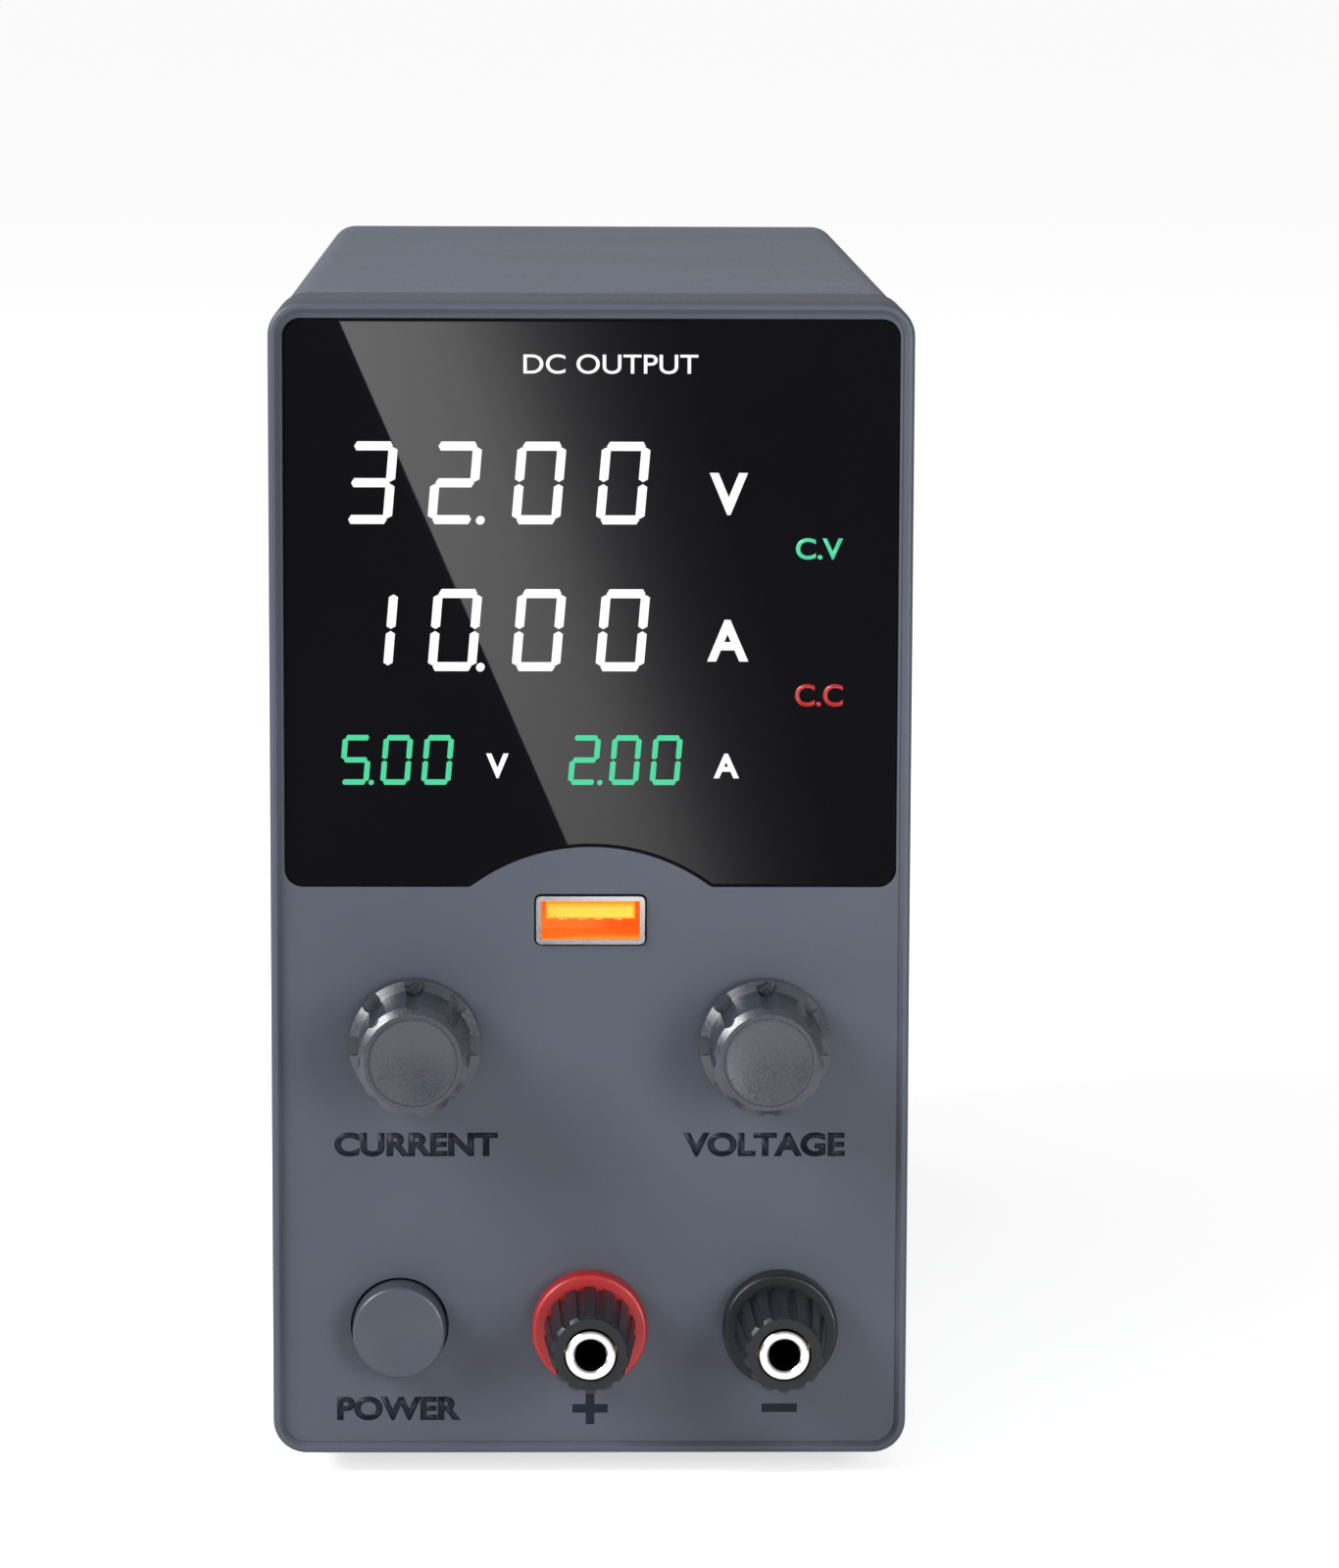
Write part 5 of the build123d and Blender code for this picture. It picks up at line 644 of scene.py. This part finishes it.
# The lining's emission is a painted glow; the film is no lamp.
LINING_GLOW = 0.35
ORANGE = (0.85, 0.2, 0.02)
outlet_orange_glow = finish("outlet_orange_glow", ORANGE, rough=0.4, grain=0.6, bumps=0.01)
glow(outlet_orange_glow, ORANGE, LINING_GLOW)
shell_low, shell_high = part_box("usb_shell")
centre = middle_of("usb_shell")
bm = bmesh.new()
bmesh.ops.create_grid(bm, x_segments=1, y_segments=1, size=0.5)
inside = 2 * (SHELL_WALL + CUP_FIT)
shell = (shell_high - shell_low) / MM
bmesh.ops.scale(bm, verts=bm.verts, vec=(shell.x - inside, shell.z - inside, 1))
sleeve("outlet_lining", bm, centre.x / MM, height_of(centre.z),
       depth_of(shell_low.y) + LINING_START, LINING_DEEP, outlet_orange_glow)

# %% [markdown]
# Screws hold the cover, the fan, the inlet and the feet. A pan head is a
# profile spun round its axis; the cross recess is cut by subtracting two
# crossed wedges, which get wider towards the crown. The profile and the wedges
# are shares of the head's radius and rise, so one pair of helpers serves all.

# %% A screw head
HEAD_STEPS = 24
HEAD_PROFILE = ((0.0, 1.0), (0.45, 1.0), (0.8, 0.8), (0.97, 0.45), (1.0, 0.0), (0.0, 0.0))
WEDGE_FOOT = 0.02
WEDGE_TOP = 0.72
WEDGE_TALL = 1.1
WEDGE_MIDDLE = 0.75
WEDGE_FLATNESS = 0.24
screw_metal = finish("screw_metal", (0.42, 0.43, 0.45), rough=0.3, grain=0.15, bumps=0.004,
                     metal=1.0)
dark_screw = finish("dark_screw", (0.05, 0.052, 0.058), rough=0.4, grain=0.2, bumps=0.006,
                    metal=0.6)


def screw_head(radius, rise):
    # A pan head on the plane z = 0, its crown towards +Z, in millimetres.
    bm = bmesh.new()
    verts = [bm.verts.new((out * radius, 0, up * rise)) for out, up in HEAD_PROFILE]
    edges = [bm.edges.new(pair) for pair in zip(verts, verts[1:])]
    bmesh.ops.spin(bm, geom=verts + edges, cent=(0, 0, 0), axis=(0, 0, 1), dvec=(0, 0, 0),
                   angle=2 * pi, steps=HEAD_STEPS, use_merge=True, use_duplicate=False)
    bmesh.ops.remove_doubles(bm, verts=bm.verts, dist=WELD)
    bmesh.ops.recalc_face_normals(bm, faces=bm.faces)
    return bm


def cross_cutter(radius, rise):
    bm = bmesh.new()
    for turn in (0, pi / 2):
        made = bmesh.ops.create_cone(bm, cap_ends=True, segments=4,
                                     radius1=WEDGE_FOOT * radius,
                                     radius2=WEDGE_TOP * radius, depth=WEDGE_TALL * rise)
        verts = made["verts"]
        bmesh.ops.rotate(bm, verts=verts, matrix=Matrix.Rotation(pi / 4, 3, "Z"))
        bmesh.ops.scale(bm, verts=verts, vec=(1.0, WEDGE_FLATNESS, 1.0))
        bmesh.ops.rotate(bm, verts=verts, matrix=Matrix.Rotation(turn, 3, "Z"))
        bmesh.ops.translate(bm, verts=verts, vec=(0, 0, WEDGE_MIDDLE * rise))
    return bm


print("a head has", HEAD_STEPS, "sides")

# %% [markdown]
# The cut is a Boolean modifier on a blank, read back as a finished mesh. The
# head is then copied into every place of its group, each copy twisted a little
# further, because no fitter lines up the crosses. A group is one piece, so
# there are five pieces to look after and not sixteen.

# %% Cutting and copying the heads
SCREW_TWIST = 0.7


def cut_away(name, bm, cutter_bm):
    body = new_object(name + "_blank", bm)
    cutter = new_object(name + "_cutter", cutter_bm)
    modifier = body.modifiers.new("recess", "BOOLEAN")
    modifier.operation = "DIFFERENCE"
    modifier.solver = "EXACT"
    modifier.use_self = True
    modifier.object = cutter
    bpy.context.view_layer.update()
    ready = body.evaluated_get(bpy.context.evaluated_depsgraph_get())
    mesh = bpy.data.meshes.new_from_object(ready)
    bpy.data.objects.remove(body)
    bpy.data.objects.remove(cutter)
    return mesh


def screws(name, radius, rise, spots, axis, material):
    # axis is the way the crowns face; every spot is where a head sits.
    head = cut_away(name, screw_head(radius, rise), cross_cutter(radius, rise))
    turn = Vector((0, 0, 1)).rotation_difference(Vector(axis)).to_matrix().to_4x4()
    bm = bmesh.new()
    for index, spot in enumerate(spots):
        before = set(bm.verts)
        bm.from_mesh(head)
        added = [vert for vert in bm.verts if vert not in before]
        twist = Matrix.Rotation(SCREW_TWIST * index, 4, "Z")
        seat = Matrix.Translation(spot) @ turn @ twist @ Matrix.Scale(MM, 4)
        bmesh.ops.transform(bm, matrix=seat, verts=added)
    piece = new_object(name, bm, material)
    ride_case(piece)
    print(name, "heads:", len(spots), "faces:", len(piece.data.polygons))


print("screw finishes:", screw_metal.name, dark_screw.name)

# %% [markdown]
# The side screws lie in the round holes of the cover, on the strip of the base
# behind it, so their crowns stay level with the painted sheet.

# %% Screws on the sides
cover_low, cover_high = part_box("top_cover")
SIDE_SCREW_RADIUS = 2.3
SIDE_SCREW_RISE = 1.15
SIDE_SCREW_HEIGHT = 15.2
SIDE_SCREW_FRONT = 40.0
SIDE_SCREW_REAR_GAP = 30.4
SIDE_SHEET = 1.15
case_depth = depth_of(cover_high.y)
side_rear = case_depth - SIDE_SCREW_REAR_GAP
side_depths = (SIDE_SCREW_FRONT, (SIDE_SCREW_FRONT + side_rear) / 2, side_rear)
for name, side in (("side_screws_left", -1), ("side_screws_right", 1)):
    x = side * (cover_high.x / MM - SIDE_SHEET)
    side_spots = [place(x, depth, SIDE_SCREW_HEIGHT) for depth in side_depths]
    screws(name, SIDE_SCREW_RADIUS, SIDE_SCREW_RISE, side_spots, (side, 0, 0), dark_screw)

# %% [markdown]
# Four large screws hold the fan at the usual pitch of its size, and two small
# ones hold the inlet, sunk into its flange. They take their places from the
# boxes of the rear panel, the fan and the inlet.

# %% Screws at the back
rear_low, rear_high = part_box("rear_panel")
inlet_low, inlet_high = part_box("inlet_body")
rear_face = depth_of(rear_high.y)
FAN_SCREW_RADIUS = 3.4
FAN_SCREW_RISE = 1.7
FAN_SCREW_PITCH = 50.0
fan_height = height_of(middle_of("fan_frame").z)
fan_spots = [
    place(x_side * FAN_SCREW_PITCH / 2, rear_face, fan_height + z_side * FAN_SCREW_PITCH / 2)
    for x_side in (-1, 1) for z_side in (-1, 1)
]
screws("fan_screws", FAN_SCREW_RADIUS, FAN_SCREW_RISE, fan_spots, (0, 1, 0), dark_screw)

INLET_SCREW_RADIUS = 1.62
INLET_SCREW_RISE = 1.3
INLET_SCREW_PITCH = 40.0
INLET_SCREW_SINK = 1.5
INLET_HEIGHT = 28.0
inlet_face = depth_of(inlet_high.y)
inlet_spots = [
    place(side * INLET_SCREW_PITCH / 2, inlet_face - INLET_SCREW_SINK, INLET_HEIGHT)
    for side in (-1, 1)
]
screws("inlet_screws", INLET_SCREW_RADIUS, INLET_SCREW_RISE, inlet_spots, (0, 1, 0),
       screw_metal)

# %% [markdown]
# A foot is screwed on from below. Its screw lies up in a recess, so that only
# rubber touches the table, and its crown faces down.

# %% Screws in the feet
feet_low, feet_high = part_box("feet")
FOOT_SCREW_RADIUS = 2.2
FOOT_SCREW_RISE = 1.1
FOOT_RADIUS = 6.0
FOOT_RECESS = 1.4
foot_spots = [
    Vector((x, y, feet_low.z + FOOT_RECESS * MM))
    for x in (feet_low.x + FOOT_RADIUS * MM, feet_high.x - FOOT_RADIUS * MM)
    for y in (feet_low.y + FOOT_RADIUS * MM, feet_high.y - FOOT_RADIUS * MM)
]
screws("foot_screws", FOOT_SCREW_RADIUS, FOOT_SCREW_RISE, foot_spots, (0, 0, -1), screw_metal)

# %% [markdown]
# The stage is one wide pale floor. The photograph has a pure white background
# with no horizon, so camera rays that miss the floor see white, and the floor
# adds a little light of its own for the camera: lit places reach white, and
# the shadow under the case stays.

# %% Floor and background
FLOOR_SIZE = 60.0
FLOOR_LIFT = 0.66


def seen_directly(tree):
    # 1 for rays that show the background itself, 0 for the light it gives.
    path = add_node(tree, "LightPath")
    either = add_node(tree, "Math", operation="MAXIMUM")
    tree.links.new(path.outputs["Is Camera Ray"], either.inputs[0])
    tree.links.new(path.outputs["Is Transmission Ray"], either.inputs[1])
    return either.outputs[0]


def floor_material():
    material = finish("floor_paper", (0.82, 0.82, 0.82), rough=0.9, grain=3.0, bumps=0.0,
                      vary=0.004, specular=0.0)
    tree = material.node_tree
    shader = tree.nodes["Principled BSDF"]
    lift = add_node(tree, "Math", operation="MULTIPLY")
    lift.inputs[1].default_value = FLOOR_LIFT
    tree.links.new(seen_directly(tree), lift.inputs[0])
    shader.inputs["Emission Color"].default_value = (1.0, 1.0, 1.0, 1.0)
    tree.links.new(lift.outputs[0], shader.inputs["Emission Strength"])
    return material


bm = bmesh.new()
bmesh.ops.create_grid(bm, x_segments=1, y_segments=1, size=FLOOR_SIZE / 2)
floor = new_object("floor", bm, floor_material())
print("floor is", FLOOR_SIZE, "m wide")

# %% [markdown]
# The world gives even, soft light from all round at about a third of the plain
# level, and lamps give the rest. For the camera it is pure white, as the
# background of the photograph is.

# %% World light
WORLD_LIGHT = 0.36
world = bpy.data.worlds.new("studio")
scene.world = world
world.use_nodes = True
tree = world.node_tree
background = tree.nodes["Background"]
strength = add_node(tree, "MapRange")
strength.inputs["To Min"].default_value = WORLD_LIGHT
strength.inputs["To Max"].default_value = 1.0
tree.links.new(seen_directly(tree), strength.inputs["Value"])
background.inputs["Color"].default_value = (1.0, 1.0, 1.0, 1.0)
tree.links.new(strength.outputs["Result"], background.inputs["Strength"])
print("world light:", WORLD_LIGHT)

# %% [markdown]
# Two soft lamps: a large one high on the left, which gives the top face its
# light and the shadows their side, and a small one close by on the right, which
# makes the front a little lighter towards the right.

# %% Lamps
def soft_lamp(name, spot, target, size, power):
    data = bpy.data.lights.new(name, "AREA")
    data.shape = "RECTANGLE"
    data.size, data.size_y = size
    data.energy = power
    lamp = bpy.data.objects.new(name, data)
    scene.collection.objects.link(lamp)
    lamp.location = spot
    lamp.rotation_euler = (Vector(target) - Vector(spot)).to_track_quat("-Z", "Y").to_euler()
    print(name, "of", power, "W")


soft_lamp("key_lamp", spot=(-0.9, -0.55, 0.8), target=(0.0, -0.05, 0.08), size=(0.5, 0.7),
          power=24.0)
soft_lamp("fill_lamp", spot=(0.26, -0.52, 0.13), target=(0.02, -0.1, 0.06), size=(0.16, 0.24),
          power=1.7)

# %% [markdown]
# The glossy window of the photograph mirrors a bright card that fades out to
# the right: its sharp slanting edge is what tells the eye that the window is
# polished. Painting that streak on the window would be wrong from every other
# side, so the card itself stands in front of the case, where only mirrored
# rays see it. Its corners are found by mirroring: a ray from the camera to a
# place on the window goes on, mirrored, to the card.

# %% The card that the window mirrors
CARD_DISTANCE = 300.0
STREAK_CORNERS = ((-31.26, 143.49), (11.67, 143.6), (33.0, 72.55), (-0.52, 72.52))
STREAK_TOP = 4.9
STREAK_BOTTOM = 2.7
STREAK_CUTS = 15
# Where the fade has come to, from left to right, and how bright it still is.
STREAK_FADE = (
    (0.0, 1.0), (0.15, 0.92), (0.28, 0.8), (0.36, 0.65), (0.43, 0.5), (0.5, 0.35),
    (0.57, 0.23), (0.64, 0.15), (0.71, 0.09), (0.78, 0.05), (0.88, 0.02), (1.0, 0.0),
)


def on_card(x, height, distance):
    window_spot = place(x, window_front, height)
    run = distance * MM + window_front * MM
    ratio = run / (window_spot.y - eye.y)
    spot = window_spot + (window_spot - eye) * ratio
    spot.y = panel_low.y - distance * MM
    return spot


def streak_material():
    # The streak's strength falls from left to right and from top to bottom.
    material = bpy.data.materials.new("streak_card")
    material.use_nodes = True
    tree = material.node_tree
    tree.nodes.clear()
    output = add_node(tree, "OutputMaterial")
    glow = add_node(tree, "Emission")
    tree.links.new(glow.outputs[0], output.inputs["Surface"])
    where = add_node(tree, "UVMap", uv_map="streak")
    split = add_node(tree, "SeparateXYZ")
    tree.links.new(where.outputs["UV"], split.inputs[0])
    fade = add_node(tree, "ValToRGB")
    for index, (at, value) in enumerate(STREAK_FADE):
        ramp = fade.color_ramp.elements
        stop = ramp[index] if index < 2 else ramp.new(at)
        stop.position = at
        stop.color = (value, value, value, 1.0)
    tree.links.new(split.outputs["X"], fade.inputs["Fac"])
    tall = spread(tree, split.outputs["Y"], STREAK_BOTTOM, STREAK_TOP, 0.0, 1.0)
    strength = add_node(tree, "Math", operation="MULTIPLY")
    tree.links.new(fade.outputs["Color"], strength.inputs[0])
    tree.links.new(tall, strength.inputs[1])
    tree.links.new(strength.outputs[0], glow.inputs["Strength"])
    return material


def mirrored_only(piece):
    piece.visible_camera = False
    piece.visible_diffuse = False
    piece.visible_transmission = False
    piece.visible_shadow = False


bm = bmesh.new()
corners = [on_card(x, height, CARD_DISTANCE) for x, height in STREAK_CORNERS]
face = bm.faces.new([bm.verts.new(corner) for corner in corners])
layer = bm.loops.layers.uv.new("streak")
for loop, uv in zip(face.loops, ((0, 1), (1, 1), (1, 0), (0, 0))):
    loop[layer].uv = uv
bmesh.ops.subdivide_edges(bm, edges=bm.edges, cuts=STREAK_CUTS, use_grid_fill=True)
streak = new_object("streak", bm, streak_material())
mirrored_only(streak)
print("card corners:", [[round(value, 3) for value in corner] for corner in corners])

# %% [markdown]
# Beside the bright card the window mirrors the dark of the room. A black card
# stands just behind the bright one, wider than all that the window can mirror
# of it, so the window is black round the streak.

# %% The dark card behind it
BACKING_GAP = 1.0
BACKING_MARGIN = 30.0
BACKING_HALF = 38.2
BACKING_LOW = 72.0
BACKING_HIGH = 143.6
dark_card = finish("dark_card", (0.002, 0.002, 0.002), rough=1.0, grain=5.0, bumps=0.0,
                   specular=0.0)
low_corner = on_card(-BACKING_HALF, BACKING_LOW, CARD_DISTANCE + BACKING_GAP)
high_corner = on_card(BACKING_HALF, BACKING_HIGH, CARD_DISTANCE + BACKING_GAP)
bm = bmesh.new()
bmesh.ops.create_grid(bm, x_segments=1, y_segments=1, size=0.5)
wide = high_corner.x - low_corner.x + 2 * BACKING_MARGIN * MM
tall = high_corner.z - low_corner.z + 2 * BACKING_MARGIN * MM
bmesh.ops.scale(bm, verts=bm.verts, vec=(wide, tall, 1))
bmesh.ops.rotate(bm, verts=bm.verts, matrix=Matrix.Rotation(pi / 2, 3, "X"))
bmesh.ops.translate(bm, verts=bm.verts, vec=(low_corner + high_corner) / 2)
backing = new_object("streak_backing", bm, dark_card)
mirrored_only(backing)
print("dark card is", round(wide, 3), "m wide and", round(tall, 3), "m tall")
